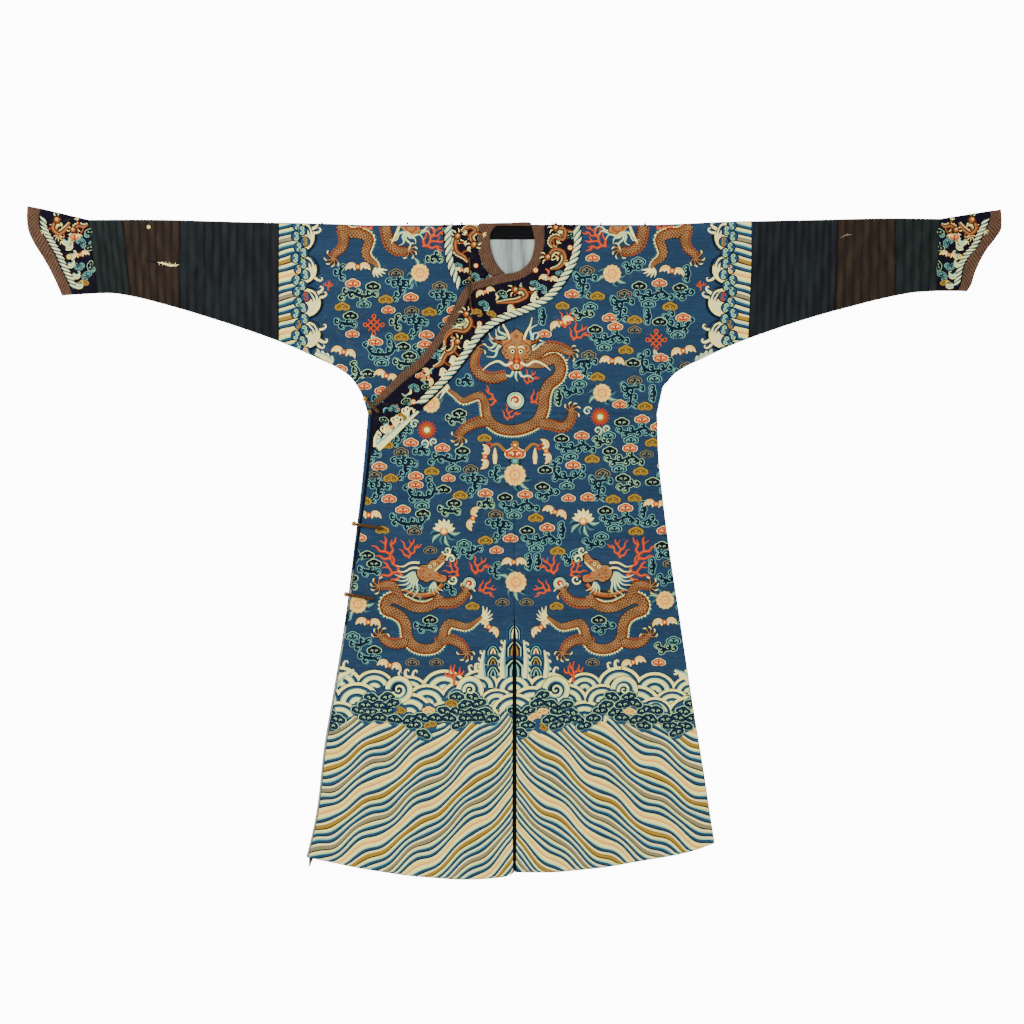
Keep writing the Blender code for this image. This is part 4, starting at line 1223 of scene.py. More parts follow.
def foam(cartoon, path, half, level, finger, side=1.0):
    """A crest of foam: a cream edge with hooked fingers along one side."""
    cartoon.ribbon(path, half, ("cream", "foam", "aqua"), level)
    for spot, normal in in_steps(path, finger):
        out = normal * side
        turned = np.array((-out[1], out[0]))
        hook = [spot + far * out + aside * turned for far, aside in FOAM_HOOK]
        cartoon.ribbon(hook, (1.4, 1.1, 0.8, 0.3), ("cream",), level + 1, 1.8)


SWELL = ("celadon", "cream", "celadon", "blue", "deep")
WAVE_DYES = ("blue", *SWELL, *SWELL, "cream", "deep")
WAVE_CUTS = (0, 2, 3, 6.2, 7.2, 9.4, 10.6, 11.6, 15, 16, 18.2, 19.4, 22.6, 23.4)
WAVE_ROWS, WAVE_PITCH, WAVE_LEAN = (466, 480, 493), 35, -44
BILLOW_PITCH, BILLOW_ROWS = 14.2, (472, 520, 7.2)
SPIRALS, SPIRAL_DOWN = ((-115.5, 1), (-44.5, -1), (41.5, 1), (109.5, -1)), 465.5


def crest(cartoon, centre, lean, size, level, squash=0.9):
    """A swelling wave: nested arcs of pale and blue, leaning over by some degrees."""
    cuts = size * np.array(WAVE_CUTS)
    cartoon.arcs(centre, cuts, max(lean - 22, -4), min(lean + 202, 184), WAVE_DYES, level, squash, 17)


def spray(cartoon, centre, radius, turns, level=9):
    """Hooked fingers of foam that spring from the edge of a wave, one for each turn in degrees."""
    for place, turn in enumerate(turns):
        line = (
            (radius - 2, 0), (radius + 2.4, -0.6), (radius + 5.4, 0.8), (radius + 5, 3.4), (radius + 3.2, 3)
        )
        half = np.array((1.7, 1.5, 1.2, 0.9, 0.3)) * (1 if place % 2 else 0.8)
        cartoon.ribbon(moved(line, centre, turn), half, ("foam", "cream"), level, 1.8)


def waves(cartoon, chance):
    """The sea: swelling waves in three rows, great spirals, spray, and billows below them."""
    for row, down in enumerate(WAVE_ROWS):
        for place in range(-8, 9):
            across = WAVE_PITCH * (place + 0.5 * (row % 2))
            size = 0.94 + 0.12 * math.sin(2.3 * place + row)
            lean = WAVE_LEAN * (0.6 + 0.4 * math.sin(1.3 * place + row))
            lean *= math.copysign(1, across + 4)
            centre = (across, down + 3.4 * math.sin(1.7 * place + 2 * row))
            if row == 0 and place % 2:
                spray(cartoon, centre, 21 * size, (-118, -100, -78), 0)
            crest(cartoon, centre, lean, size, 2 * row)
    for across, side in SPIRALS:
        centre = (across, SPIRAL_DOWN)
        names = ("deep", "cream", "celadon", "blue", "deep")
        cartoon.rings(circle(22), names, centre, 0, 14.4, 9, (1, 0.95, 0.68, 0.6, 0.48, 0))
        curve = coil(centre, 6.6, 1.5, 200, 0.05, side)
        cartoon.ribbon(curve, (2.2, 2, 1.7, 1.3, 0.8), ("blue", "cream", "cream", "celadon"), 13, 1.6)
    for row, down in enumerate(np.arange(*BILLOW_ROWS)):
        for place in range(-15, 16):
            across = BILLOW_PITCH * (place + 0.5 * (row % 2))
            lower = 500 + 9 * math.sin(across / 11.5) * math.cos(across / 31)
            lower += 4 * math.sin(across / 5)
            upper = 478 + 10 * math.cos(across / 13 + 0.9)
            if upper < down < lower:
                spot = (across + chance.uniform(-1.8, 1.8), down + chance.uniform(-1.4, 1.4))
                pick = int(100 * chance.random())
                name = "billow" if pick < 80 else ("blush", "gold", "blush")[pick % 3]
                small = 1.06 if name == "billow" else 0.8
                cartoon.rings(circle(10), ("blue",), spot, 0, 7.6, 12)
                head(cartoon, spot, name, chance.uniform(-24, 24), small, 14 + row % 2)


# Stacks of arches: across, half width of the first, its growth with each next one, and their tops.
ROCK_STACKS = (
    (0, 8.06, 2.47, (398.5, 414, 431)),
    (-21.4, 8.4, 0, (418.5, 429, 439.5)),
    (21.4, 8.4, 0, (418.5, 429, 439.5)),
)
ROCK_FOOT = 452

# Foam beside the rock and at the shore, for both sides: path, half widths, level, the fingers' side.
ROCK_FOAM = (
    (((11, 454), (11.8, 438), (9.4, 416)), (3.2, 2.4, 0.8), 5, 1),
    (((31.5, 454), (32.3, 438), (29.9, 426)), (3.2, 2.4, 0.8), 5, 1),
)
SHORE_FOAM = (
    (((188, 470), (184, 448), (179, 424), (176, 406)), (7, 5, 3.4, 1), 4, -1),
    (((190, 478), (172, 452), (160, 446)), (6, 4, 1.4), 5, -1),
)
SHORE_KEPT = (
    (((0, 400), (0, 450)), 18), (((-24, 424), (24, 424)), 14),
    (((-182, 412), (-178, 450)), 10), (((182, 412), (178, 450)), 10),
    (((-215, 462), (215, 462)), 19),
)


def rock(cartoon):
    """The mountain: stacks of nested arches in the middle and at its sides, with foam between."""
    names = ("blue", "deep", "aqua", "deep", "cream", "coral")
    scales = np.array((1, 0.8, 0.64, 0.54, 0.36, 0.2, 0))
    shares = np.array((-1, -1, -0.5, 0, 0.5, 1, 1))
    for across, wide, grow, tops in ROCK_STACKS:
        for place, top in enumerate(tops):
            wall = wide + grow * place
            drop = np.array((ROCK_FOOT - top, 5.5, 1.2, 0, 1.2, 5.5, ROCK_FOOT - top))
            sides = across + shares[:, None] * wall * scales
            arches = np.minimum(top + drop[:, None] + wall * (1 - scales), ROCK_FOOT)
            points = np.stack((sides, arches), axis=2)
            bands = ("blue", "deep", "celadon", "deep", "gold" if place == 1 else "aqua", "deep")
            cartoon.grid(points, lift_of(2 * place), colours(bands if place else names))
    for rows in (ROCK_FOAM, SHORE_FOAM):
        for side in (-1, 1):
            for path, half, level, outwards in rows:
                foam(cartoon, np.array(path) * (side, 1), half, level, 6, outwards * side)
    for path, radius in SHORE_KEPT:
        cartoon.keep(path, radius)


# ---- regions ------------------------------------------------------------------------------

FIGURE_INSET = 1.6
WOVEN_FROM = 0.06


def region_of(side, part):
    """A rule that moves flat points to the nearest edge of a half's panel where they pass it."""
    sign = SIDES[side]

    def region(flat):
        reach, down = sign * flat[:, 0], flat[:, 1].copy()
        if side == "right" and part != "back":
            slant = np.interp(sign * reach, *np.array(FLAP_EDGE).T)
            slant = np.where(reach < -FLAP_EDGE[0][0], slant, UNDERARM_DOWN - 4)
            down = np.maximum(down, slant + 2) if part == "outer" else np.minimum(down, slant + 6)
        upper = down < UNDERARM_DOWN
        seam = np.interp(down, (0, 250), SEAMS[side][0]) - 0.6
        inset = 1 + flap_inset(down) if (side, part) == ("right", "outer") else FIGURE_INSET
        reach = np.minimum(reach, np.where(upper, seam, read(SIDE_EDGE[side], down) - inset))
        neck = np.array(NECKLINE[side])
        low = np.interp(down, neck[:, 1], sign * neck[:, 0]) + 2
        if part != "under":
            low = np.where(down > neck[-1, 1], WOVEN_FROM, low)
            low = np.maximum(low, vent_edge(down) + 0.1)
        reach = np.maximum(reach, WOVEN_FROM if part == "back" else low)
        down = np.maximum(down, read(SHOULDER[side], reach) + FIGURE_INSET)
        under = read(UNDERSIDE[side], np.maximum(reach, UNDERARM_REACH[side])) - FIGURE_INSET
        down = np.where(upper & (reach > UNDERARM_REACH[side] - 4), np.minimum(down, under), down)
        down = np.minimum(down, read(HEM[side], reach) - FIGURE_INSET)
        return np.column_stack((sign * reach, down))

    return region


# ---- dragons ------------------------------------------------------------------------------

SCALE_PITCH, SCALE_LINE = 3.2, 0.7
KNOB = ("umber", "tawny", "orange")
BODY_CUTS = (-1, -0.87, -0.6, -0.3, 0, 0.3, 0.6, 0.87, 1)


def bent(path, half, at, cross):
    """Flat points at shares of a path's length, and at shares of its half width to its side."""
    fine = steps(max(12, int(length_of(path))))
    middle, normal, wide = along(path, half, fine)
    offset = normal * wide[:, None]
    across, down, aside, below = (np.interp(at, fine, column) for column in (*middle.T, *offset.T))
    return np.stack((across + cross * aside, down + cross * below), axis=-1)


def scaly(cartoon, path, half, level, belly):
    """A scaled body: tawny under two sets of slanting umber lines, with an orange belly edge."""
    length = length_of(path)
    wide = float(np.mean(half))
    starts = np.arange(-wide, length + wide + SCALE_PITCH, SCALE_PITCH)
    marks = np.sort(np.concatenate((starts, starts + SCALE_PITCH - SCALE_LINE)))
    cross = np.array(BODY_CUTS)
    for number, lean in enumerate((1, -1)):
        at = np.clip((marks[:, None] + lean * wide * cross) / length, 0, 1)
        points = bent(path, half, at, np.broadcast_to(belly * cross, at.shape))
        names = ("umber", "orange", *5 * ("tawny",), "umber")
        hues = np.broadcast_to(colours(names), (len(marks) - 1, len(names), 3)).copy()
        hues[:, 2:] *= 1 + 0.16 * np.sin(np.arange(len(hues)) * 0.45)[:, None, None]
        if number:
            hues[:] = np.nan
        hues[1::2, 1:] = DYES["umber"]
        cartoon.grid(points, lift_of(level + number) + 0.2 * (1 - cross**2), hues)
    cartoon.keep(path, np.max(half) + 0.8)


def dragon_body(cartoon, path, half, crest, belly, level=5):
    """A dragon's body with a cream crest of spines over an aqua line along one side."""
    cartoon.teeth(path, np.asarray(half) + 0.4, 3.4, ("teal",), level - 2, 3, crest)
    cartoon.teeth(path, np.asarray(half) - 0.6, 2.6, ("cream",), level - 1, 2, crest)
    scaly(cartoon, path, half, level, belly)


def paw(cartoon, centre, turn, level):
    """Five tawny toes with cream claws, spread round the end of a leg."""
    cartoon.rings(circle(9), ("umber", "tawny"), centre, 0, 3.4, level, (1, 0.8, 0))
    for angle in (-78, -38, 0, 38, 95):
        toe = ((0, 0), (3.6, -0.8), (6.4, 0.4), (7.4, 2))
        claw = ((6.4, 0.2), (8.2, 1.4), (8.4, 3.4))
        for line, half, names, lift, every in (
            (toe, (1.5, 1.5, 1.2, 0.7), ("umber", "tawny", "umber"), 0, 2),
            (claw, (0.8, 0.8, 0.2), ("cream",), 1, 1.6),
        ):
            cartoon.ribbon(moved(line, centre, turn + angle), half, names, level + lift, every)
    cartoon.keep((centre,), 9)


def leg(cartoon, path, half, turn, fringe, level=5):
    """A scaled leg with an orange fringe, down to its paw."""
    cartoon.teeth(path, np.asarray(half) - 0.4, 3, ("orange",), level - 1, 2.4, fringe)
    scaly(cartoon, path, half, level, fringe)
    paw(cartoon, path[-1], turn, level + 1)


def strands(cartoon, centre, turns, length, half, names, level=3, bend=0.25):
    """Wavy tapering strands that spread from a centre, one for each turn in degrees."""
    for place, turn in enumerate(turns):
        reach = length * (1 - 0.18 * (place % 2))
        line = (
            (0, 0), (0.35 * reach, bend * reach * 0.5), (0.7 * reach, -bend * reach * 0.4),
            (reach, 0.1 * reach)
        )
        cartoon.ribbon(moved(line, centre, turn), (half, half, 0.7 * half, 0.2), names, level)


def flames(cartoon, centre, turn, size=1.0, level=3):
    """A branching coral flame."""
    stems = (
        ((0, 0), (5, 1.5), (9, -1.5), (15, 0.5), (20, -3)), ((5, 1.5), (8, 5.5), (13, 5), (17, 8)),
        ((9, -1.5), (11, -6), (16, -8), (18, -12)), ((13, 5), (14, 9), (18, 12)),
        ((2, 0.5), (3, -5), (7, -8), (8, -12)), ((15, 0.5), (18, 2.5), (22, 2.5)),
    )
    for stem in stems:
        path = moved(stem, centre, turn, size)
        cartoon.ribbon(path, np.array((1.5, 1.3, 1, 0.3)) * size, ("coral", "salmon", "coral"), level, 2)
    cartoon.keep((moved((10, 0), centre, turn, size),), 9 * size)


def pearl(cartoon, centre, size, level=6):
    """A flaming pearl: pale rings round a coral swirl."""
    cartoon.rings(circle(20), ("deep", "celadon", "aqua", "cream", "foam"), centre, 0, size, level,
                  (1.15, 1, 0.84, 0.7, 0.4, 0))
    cartoon.ribbon(coil(centre, 0.56 * size, 1, 200, 0.1, -1), (0.5, 1.3, 1.1), ("coral",), level + 4, 1.5)
    cartoon.keep((centre,), size + 5)


def eye(cartoon, centre, size=1.0, level=9):
    """A round eye with a dark pupil."""
    cartoon.rings(
        circle(10), ("umber", "cream", "midnight"), centre, 0, 2.3 * size, level, (1, 0.78, 0.42, 0)
    )


FACE = even(
    ((0, 20), (4.5, 19), (7.5, 15), (8, 9), (12.5, 6), (16, 0), (15, -6),
     (16.5, -11), (11, -12.5), (7.5, -16.5), (0, -17)),
    44,
)


def front_face(cartoon, centre, size):
    """A dragon's face from the front: mane, horns, lobed brow, round eyes, nose and whiskers."""
    at = lambda shape, flip=1.0: moved(shape, centre, 0, size, flip)
    for side in (-1, 1):
        turns = np.array((-66, -48, -30, -14, 2, 18, 34))
        turns = turns if side > 0 else 180 - turns
        strands(cartoon, at((9, -6), side), turns, 24 * size, 1.3, ("aqua", "cream"), 4)
        horn = ((7, -12), (10, -20), (13, -25), (15.5, -34))
        cartoon.ribbon(at(horn, side), (1.6, 1.5, 1.1, 0.4), ("umber", "cream", "cream", "foam"), 8)
        ear = ((14, -8), (20, -10), (24, -15))
        cartoon.ribbon(at(ear, side), (2.6, 2, 0.4), ("umber", "orange", "umber"), 6)
    cartoon.rings(FACE, (*KNOB, "tawny", "tawny"), centre, 0, size, 7,
                  (1, 0.93, 0.72, 0.64, 0.3, 0))
    cartoon.rings(lobed(5, 0.2), KNOB, at((0, -15)), 90, 8 * size, 8, (1, 0.86, 0.3, 0))
    for side in (-1, 1):
        for lobe, radius in (((9.5, -3), 4.8), ((9, 4.6), 3.8), ((4.2, -6.2), 3.6)):
            cartoon.rings(circle(12), KNOB, at(lobe, side), 0, radius * size, 8,
                          (1, 0.84, 0.4, 0))
        eye(cartoon, at((3.9, 0.2), side), 1.15 * size, 11)
        brow = ((1.4, -3.4), (4.6, -4.8), (8.4, -2.6))
        cartoon.ribbon(at(brow, side), (0.6, 1, 0.3), ("cream",), 12, 1.8)
        jaw = ((6.2, 10), (6.6, 14), (3.4, 18.4))
        cartoon.ribbon(at(jaw, side), (1.8, 1.6, 0.8), ("coral", "salmon"), 9, 2)
        whisker = ((4, 11), (10, 14), (18, 10), (26, 12.5), (34, 19))
        cartoon.ribbon(at(whisker, side), (1.1, 1.2, 0.9, 0.3), ("cream", "foam"), 13)
        beard = ((3, 20), (6, 25), (12, 24), (17, 28))
        cartoon.ribbon(at(beard, side), (1.3, 1.1, 0.3), ("aqua", "cream"), 5)
    cartoon.ribbon(at(((0, -2), (0, 4), (0, 9.5))), (1.6, 2, 3.6), ("orange", "salmon", "orange"), 10)
    cartoon.rings(
        circle(12), ("umber", "coral", "salmon"), at((0, 10)), 0, 4.2 * size, 11, (1, 0.82, 0.4, 0)
    )
    cartoon.rings(
        circle(12), ("umber", "cream", "coral"), at((0, 15.2)), 0, 3.4 * size, 11, (1, 0.8, 0.4, 0)
    )
    cartoon.ribbon(at(((0, 20), (-1, 25), (1, 30))), (1.6, 1.2, 0.3), ("aqua", "cream", "aqua"), 5)
    cartoon.keep((centre,), 23 * size)
    cartoon.keep((at((0, -22)),), 16 * size)


PROFILE = trace(
    ((-13, 4), (-13.5, -4), (-8, -9), (-1, -8), (4, -11.5), (9, -11), (15, -15), (18.5, -12),
     (17, -7), (10, -4), (7, -0.5), (9, 4.5), (15, 8), (13.5, 13), (6, 12), (0, 8),
     (-6, 9), (-13, 4)),
    np.arange(44) / 44,
)


def side_face(cartoon, centre, turn, size):
    """A dragon's head from the side: open jaws, curled snout, two eyes, horns and mane behind."""
    at = lambda shape: moved(shape, centre, turn, size)
    for angle in (-168, -180, -192, -206, -220, -236):
        line = at(moved(((0, 0), (8, 2), (16, -2), (25, 1)), (-9, 0), angle))
        cartoon.ribbon(line, (1.2, 1.3, 0.9, 0.2), ("cream", "aqua"), 5)
    for lift in (-4.5, 0.5):
        horn = ((-8, -6 + lift), (-16, -8 + lift), (-24, -6.5 + lift), (-30, -9 + lift))
        cartoon.ribbon(at(horn), (1.6, 1.5, 1.1, 0.3), ("umber", "cream", "foam"), 7)
    outline = at(PROFILE)
    middle = at((0, 0.5))
    scales = np.array((1, 0.9, 0.6, 0.5, 0))[:, None, None]
    cartoon.grid(mixed(middle, outline[None], scales), lift_of(8) + RISE * (1 - scales[:, :, 0] ** 2),
                 colours((*KNOB, "tawny"))[:, None], closed=True)
    for spot, radius in (((-6, -3), 4), ((-8, 3), 3.4), ((-1, 2.4), 3.4), ((14, -11.4), 3)):
        cartoon.rings(circle(11), KNOB, at(spot), 0, radius * size, 9, (1, 0.82, 0.4, 0))
    for spot in ((1, -5), (5.6, -6.4)):
        eye(cartoon, at(spot), 0.95 * size, 12)
    cartoon.ribbon(at(((4, 0), (9, -2.6), (15, -6))), (0.6, 0.9, 0.5), ("cream",), 12, 1.8)
    cartoon.ribbon(at(((5, 3), (9, 7.4), (13, 10))), (0.8, 1.1, 0.5), ("coral", "salmon"), 12, 1.8)
    for curl, hand in (((20, -16), 1), ((22, -7), -1), ((19, 12), 1)):
        line = coil((0, 0), 4.6, 1.1, 180, 0.2, hand) + np.array(curl)
        cartoon.ribbon(at(line), (0.9, 0.9, 0.4), ("cream",), 8, 1.8)
    for angle in (62, 84, 106, 128):
        line = at(moved(((0, 0), (6, 1.6), (12, -1)), (1, 10), angle))
        cartoon.ribbon(line, (1.2, 1, 0.2), ("cream", "aqua"), 5)
    cartoon.keep((at((2, 0)),), 15 * size)
    cartoon.keep((at((-20, -4)),), 9 * size)


CHEST_BODY = (
    (12.2, 139.1), (27.5, 139.1), (40.8, 135), (45.9, 143.1), (43.9, 152.3), (33.7, 161.5), (29.6, 172.7),
    (28.6, 184), (23.5, 196.2), (12.2, 203.3), (-3.1, 206.4), (-17.4, 203.3), (-25.5, 196.2), (-28.6, 186),
    (-29.6, 177.8), (-33.7, 171.7), (-42.9, 173.8), (-51, 176.8), (-59.2, 170.7), (-66.3, 165.6),
)
LOWER_BODY = (
    (-74.1, 371.2), (-77.7, 377.4), (-86.6, 382.8), (-99.1, 382.8), (-111.6, 377.4), (-120.6, 373.9),
    (-127.7, 377.4), (-128.6, 384.6), (-118.8, 389), (-111.6, 394.4), (-108.1, 402.4), (-107.2, 411.4),
    (-100.9, 421.2), (-89.3, 424.8), (-77.7, 422.1), (-72.4, 414), (-69.7, 404.2), (-65.2, 398.9),
    (-56.3, 400.6), (-47.4, 402.4), (-38.4, 397.1), (-32.2, 392.6),
)
SHOULDER_BODY = (
    (-175.7, 0.8), (-165, 8.9), (-154.3, 9.8), (-145.4, 15.1), (-147.1, 22.3), (-148.9, 29.4),
    (-145.4, 35.6), (-140, 39.2), (-136.4, 44.6),
)

# Legs: path from the body to the paw, half widths, the paw's turn in degrees, the fringe's side.
CHEST_LEGS = (
    (
        ((-8, 152), (-22, 155), (-36, 150), (-40.8, 143), (-40.3, 133), (-36.7, 125)),
        (4.5, 5.2, 5, 4.2, 3.4), -80, 1,
    ),
    (((12.2, 139), (22.4, 131), (32.6, 124), (45.9, 125), (55.1, 129)), (4.6, 5.2, 4.8, 3.6), 10, -1),
    (((24, 198), (37.7, 200), (47.9, 202.3), (55.1, 196.2), (57.1, 187)), (4.6, 5, 4.6, 3.4), -75, 1),
    (
        ((-22, 198.2), (-35.7, 199.3), (-45.9, 203.3), (-52.1, 208.4), (-55.1, 213)),
        (4.6, 5, 4.4, 3.2), 100, 1,
    ),
)
LOWER_LEGS = (
    (((-112, 378), (-117, 368), (-121, 361), (-128, 359.6), (-135, 361.5)), (4.8, 5, 4.2, 3.2), 175, -1),
    (((-76, 378), (-66, 378), (-58, 376.5), (-51.8, 371), (-48.5, 367)), (4.4, 4.8, 4.2, 3.2), -55, 1),
    (((-104, 416), (-112, 419.4), (-122, 420), (-130, 416.5), (-134, 411.5)), (4.6, 5, 4.2, 3), -110, 1),
    (((-78, 420), (-68, 415.8), (-58, 418), (-51, 424), (-48.7, 428.5)), (4.4, 4.8, 4.2, 3), 70, -1),
)
SHOULDER_LEGS = (
    (((-172, 5), (-169.5, 15), (-172.1, 24.9), (-178.4, 30.3), (-181.1, 34)), (4.6, 4.6, 4, 3), 120, 1),
    (
        ((-128.4, 2), (-126.6, 11.5), (-124, 20.4), (-117.7, 25.8), (-106.1, 26.7)),
        (5, 5.2, 4.6, 3.4), 8, 1,
    ),
)

# Flames: root, turn in degrees, size.
CHEST_FLAMES = (
    ((-18, 178), 205, 0.9), ((16, 178), -20, 0.9), ((-8, 196), -60, 0.75), ((12, 160), -60, 0.7),
    ((58, 116), -50, 0.9), ((50, 104), -75, 0.8),
)
LOWER_FLAMES = (
    ((-112, 352), -150, 1.1), ((-124, 336), -110, 1.1), ((-106, 334), -80, 0.9),
    ((-56, 352), -130, 0.8), ((-40, 350), -60, 0.9), ((-36, 366), -10, 0.8),
)
SHOULDER_FLAMES = (
    ((-92, 22), -20, 1), ((-84, 14), -50, 0.8), ((-143.6, 6), -100, 0.9), ((-158, 4), -30, 0.6),
)


def legs(cartoon, rows):
    """The legs of one dragon, by the rows of its table."""
    for path, half, turn, fringe in rows:
        leg(cartoon, path, half, turn, fringe)


def fires(cartoon, rows):
    """The flames round one dragon, by the rows of its table."""
    for root, turn, size in rows:
        flames(cartoon, root, turn, size)


def tail_fan(cartoon, centre, turn, size=1.0):
    """Five cream strands at the tip of a tail."""
    for place, angle in enumerate((-44, -22, 0, 22, 44)):
        line = ((0, 0), (4, 1), (9, -1 + 0.4 * place), (13, -3))
        cartoon.ribbon(moved(line, centre, turn + angle, size), (1.3, 1.2, 0.3), ("cream", "foam"), 5, 2)
    cartoon.keep((moved((7, 0), centre, turn, size),), 9 * size)


def chest_dragon(cartoon):
    """The facing dragon on the chest, coiled round its pearl."""
    half = (5.4, 5.8, 6, 6, 6, 5.8, 5.4, 4.6, 3.6, 1.6)
    fires(cartoon, CHEST_FLAMES)
    dragon_body(cartoon, CHEST_BODY, half, -1, 1)
    legs(cartoon, CHEST_LEGS)
    tail_fan(cartoon, (-65.5, 165.6), 190)
    pearl(cartoon, (1, 176.8), 8.6)
    front_face(cartoon, (2, 127.5), 1)


def lower_dragon(cartoon):
    """The rising dragon of the skirt, chasing its pearl."""
    half = (4.8, 5.4, 5.8, 5.8, 5.8, 5.6, 5.4, 5.2, 4.8, 3.8, 1.4)
    neck = ((-110, 366), (-96, 371), (-80, 368), (-72, 360))
    fires(cartoon, LOWER_FLAMES)
    cartoon.ribbon(neck, (2, 4.4, 4.6, 3.6), (*KNOB, "umber"), 4)
    dragon_body(cartoon, LOWER_BODY, half, 1, -1)
    legs(cartoon, LOWER_LEGS)
    tail_fan(cartoon, (-33, 393), -25, 0.85)
    pearl(cartoon, (-45.1, 359.6), 6.4)
    side_face(cartoon, (-84, 348), -14, 1.06)


def shoulder_dragon(cartoon):
    """The part of the shoulder's dragon that shows below the fold."""
    dragon_body(cartoon, SHOULDER_BODY, (5, 5.4, 5.4, 5, 4, 1.6), -1, 1)
    legs(cartoon, SHOULDER_LEGS)
    tail_fan(cartoon, (-137, 43), 75, 0.8)
    fires(cartoon, SHOULDER_FLAMES)
    scales = (1, 0.9, 0.6, 0.4, 0)
    cartoon.rings(lobed(7, 0.2), (*KNOB, "tawny"), (-103.4, 3), 0, 11.5, 6, scales)
    strands(cartoon, (-108, 8), (20, 48, 80, 112, 150), 19, 1.2, ("cream", "aqua"), 8)
    strands(cartoon, (-98, 6), (-8, 14), 18, 1.2, ("cream", "aqua"), 4)
    cartoon.ribbon(((-115, 1.7), (-118, 10), (-123, 19.6)), (1.2, 1.4, 0.4), ("cream",), 10)
    cartoon.keep((-103.4, 4), 14)


# ---- emblems ------------------------------------------------------------------------------


def leaves(cartoon, centre, turns, length, level=2):
    """Pointed leaves round a centre, teal or pale, one for each turn in degrees."""
    for place, turn in enumerate(turns):
        reach = length * (1 + 0.15 * (place % 2))
        line = moved(((0.3 * reach, 0), (0.7 * reach, 1), (reach, -1.5)), centre, turn)
        names = ("jade", "celadon", "jade") if place % 2 else ("deep", "teal", "jade")
        cartoon.ribbon(line, (0.8, 2.4, 0.3), names, level, 2.4)


def peony(cartoon, centre, radius):
    """A peony from above: pale petals in curved rows, with fine tan lines, on a few leaves."""
    first = 37 * centre[0] % 360
    leaves(cartoon, centre, first + np.array((0, 32, 64, 150, 185)), 1.5 * radius)
    names = ("taupe", "peach", "peach", "peach", "apricot", "peach", "peach", "apricot")
    scales = (1, 0.95, 0.78, 0.62, 0.54, 0.32, 0.28, 0.14, 0)
    cartoon.rings(lobed(13, 0.1), names, centre, first, radius, 5, scales)
    for turn in range(0, 360, 45):
        spot = moved(((0.52 + 0.2 * (turn % 2)) * radius, 0), centre, turn + first)
        curve = coil(spot, 0.24 * radius, 0.6, turn, 0.6)
        cartoon.ribbon(curve, (0.2, 0.42, 0.2), ("apricot",), 9, 1.6)
    cartoon.keep((centre,), radius + 3)


def lotus(cartoon, centre, size=0.95):
    """A lotus from the side: pointed petals over a pale heart, with teal leaves and a stem."""
    leaves(cartoon, centre, (100, 140, 40, 75, 170, 10), 15 * size)
    for place, turn in enumerate((-165, -15, -140, -40, -115, -65, -90)):
        line = moved(((2, 0), (7, 0.6), (12 + (place > 3), 0)), centre, turn, size)
        cartoon.ribbon(
            line, np.array((1.2, 3, 0.3)) * size, ("foam", "cream", "cream", "peach"), 4 + place // 2, 2.2
        )
    cartoon.rings(lobed(8, 0.15), ("salmon", "peach", "cream"), centre, 0, 4.6 * size, 8)
    cartoon.keep((centre,), 15 * size)


BAT_WING = trace(
    ((-4.6, 1.8), (-3.4, -2.2), (0.4, -4), (4, -3.2), (6.4, -0.4), (7.2, 4.4), (5, 1.6), (3.4, 1.4),
     (2.2, 3.6), (0.6, 1.6), (-0.8, 1.8), (-2.2, 4.4), (-4.6, 1.8)),
    np.arange(36) / 36,
)


def bat(cartoon, centre, turn=0.0, size=1.0):
    """A bat: two hooked pale wings with scalloped edges round a salmon body."""
    for side in (-1, 1):
        wing = moved(BAT_WING + (0.2, -0.6), (5.4 * side, 0), 0, 1, side)
        spot = moved((5.4 * side, -0.6), centre, turn, size)
        outline = moved(wing - (5.4 * side, -0.6), (0, 0), turn)
        cartoon.rings(
            outline, ("umber", "peach", "foam", "peach"), spot, 0, size, 5, (1.06, 0.96, 0.6, 0.3, 0)
        )
        rib = moved(((1.5, -1.4), (6, -3), (10.6, 0.6)), (0, 0), 0, 1, side)
        cartoon.ribbon(moved(rib, centre, turn, size), 0.35 * size, ("apricot",), 9, 2)
    names = ("umber", "salmon", "peach")
    cartoon.rings(lobed(5, 0.3, 3), names, centre, turn, 3.3 * size, 9, (1, 0.84, 0.4, 0))
    cartoon.keep((centre,), 10 * size)


def jewel(cartoon, centre, size=0.95):
    """A flaming jewel: a spiky coral disc with a gold ring and a pale core, and a knotted ribbon."""
    cartoon.rings(lobed(17, 0.36, 4), ("coral", "coral", "gold", "umber", "cream"), centre, 0, 10.5 * size, 4,
                  (1, 0.75, 0.55, 0.42, 0.34, 0))
    for side, turn in ((1, 100), (-1, 60), (1, 205)):
        spot = moved((14.5 * size, 0), centre, turn)
        cartoon.ribbon(
            coil(spot, 4.4 * size, 1.2, turn + 180, 0.25, side), (0.9, 1, 0.5), ("aqua", "cream"), 3, 2
        )
    cartoon.keep((centre,), 13 * size)


def knot(cartoon, centre, size=0.95):
    """An endless knot of coral bands with pale middles."""
    for turn in (45, -45):
        for place in (-4.6, 0, 4.6):
            reach = 8.4 - 0.35 * abs(place)
            line = moved(((-reach, place), (0, place), (reach, place)), centre, turn, size)
            cartoon.ribbon(line, 1.1 * size, ("umber", "coral", "salmon", "coral"), 4 if turn > 0 else 5, 3)
    for turn in (0, 90, 180, 270):
        spot = moved((9, 0), centre, turn, size)
        cartoon.rings(circle(10), ("coral", "salmon", "deep"), spot, 0, 2.6 * size, 6, (1, 0.75, 0.5, 0))
    strands(cartoon, moved((0, 9), centre, 0, size), (70, 110), 12 * size, 0.9, ("aqua", "cream"), 3)
    cartoon.keep((centre,), 13 * size)


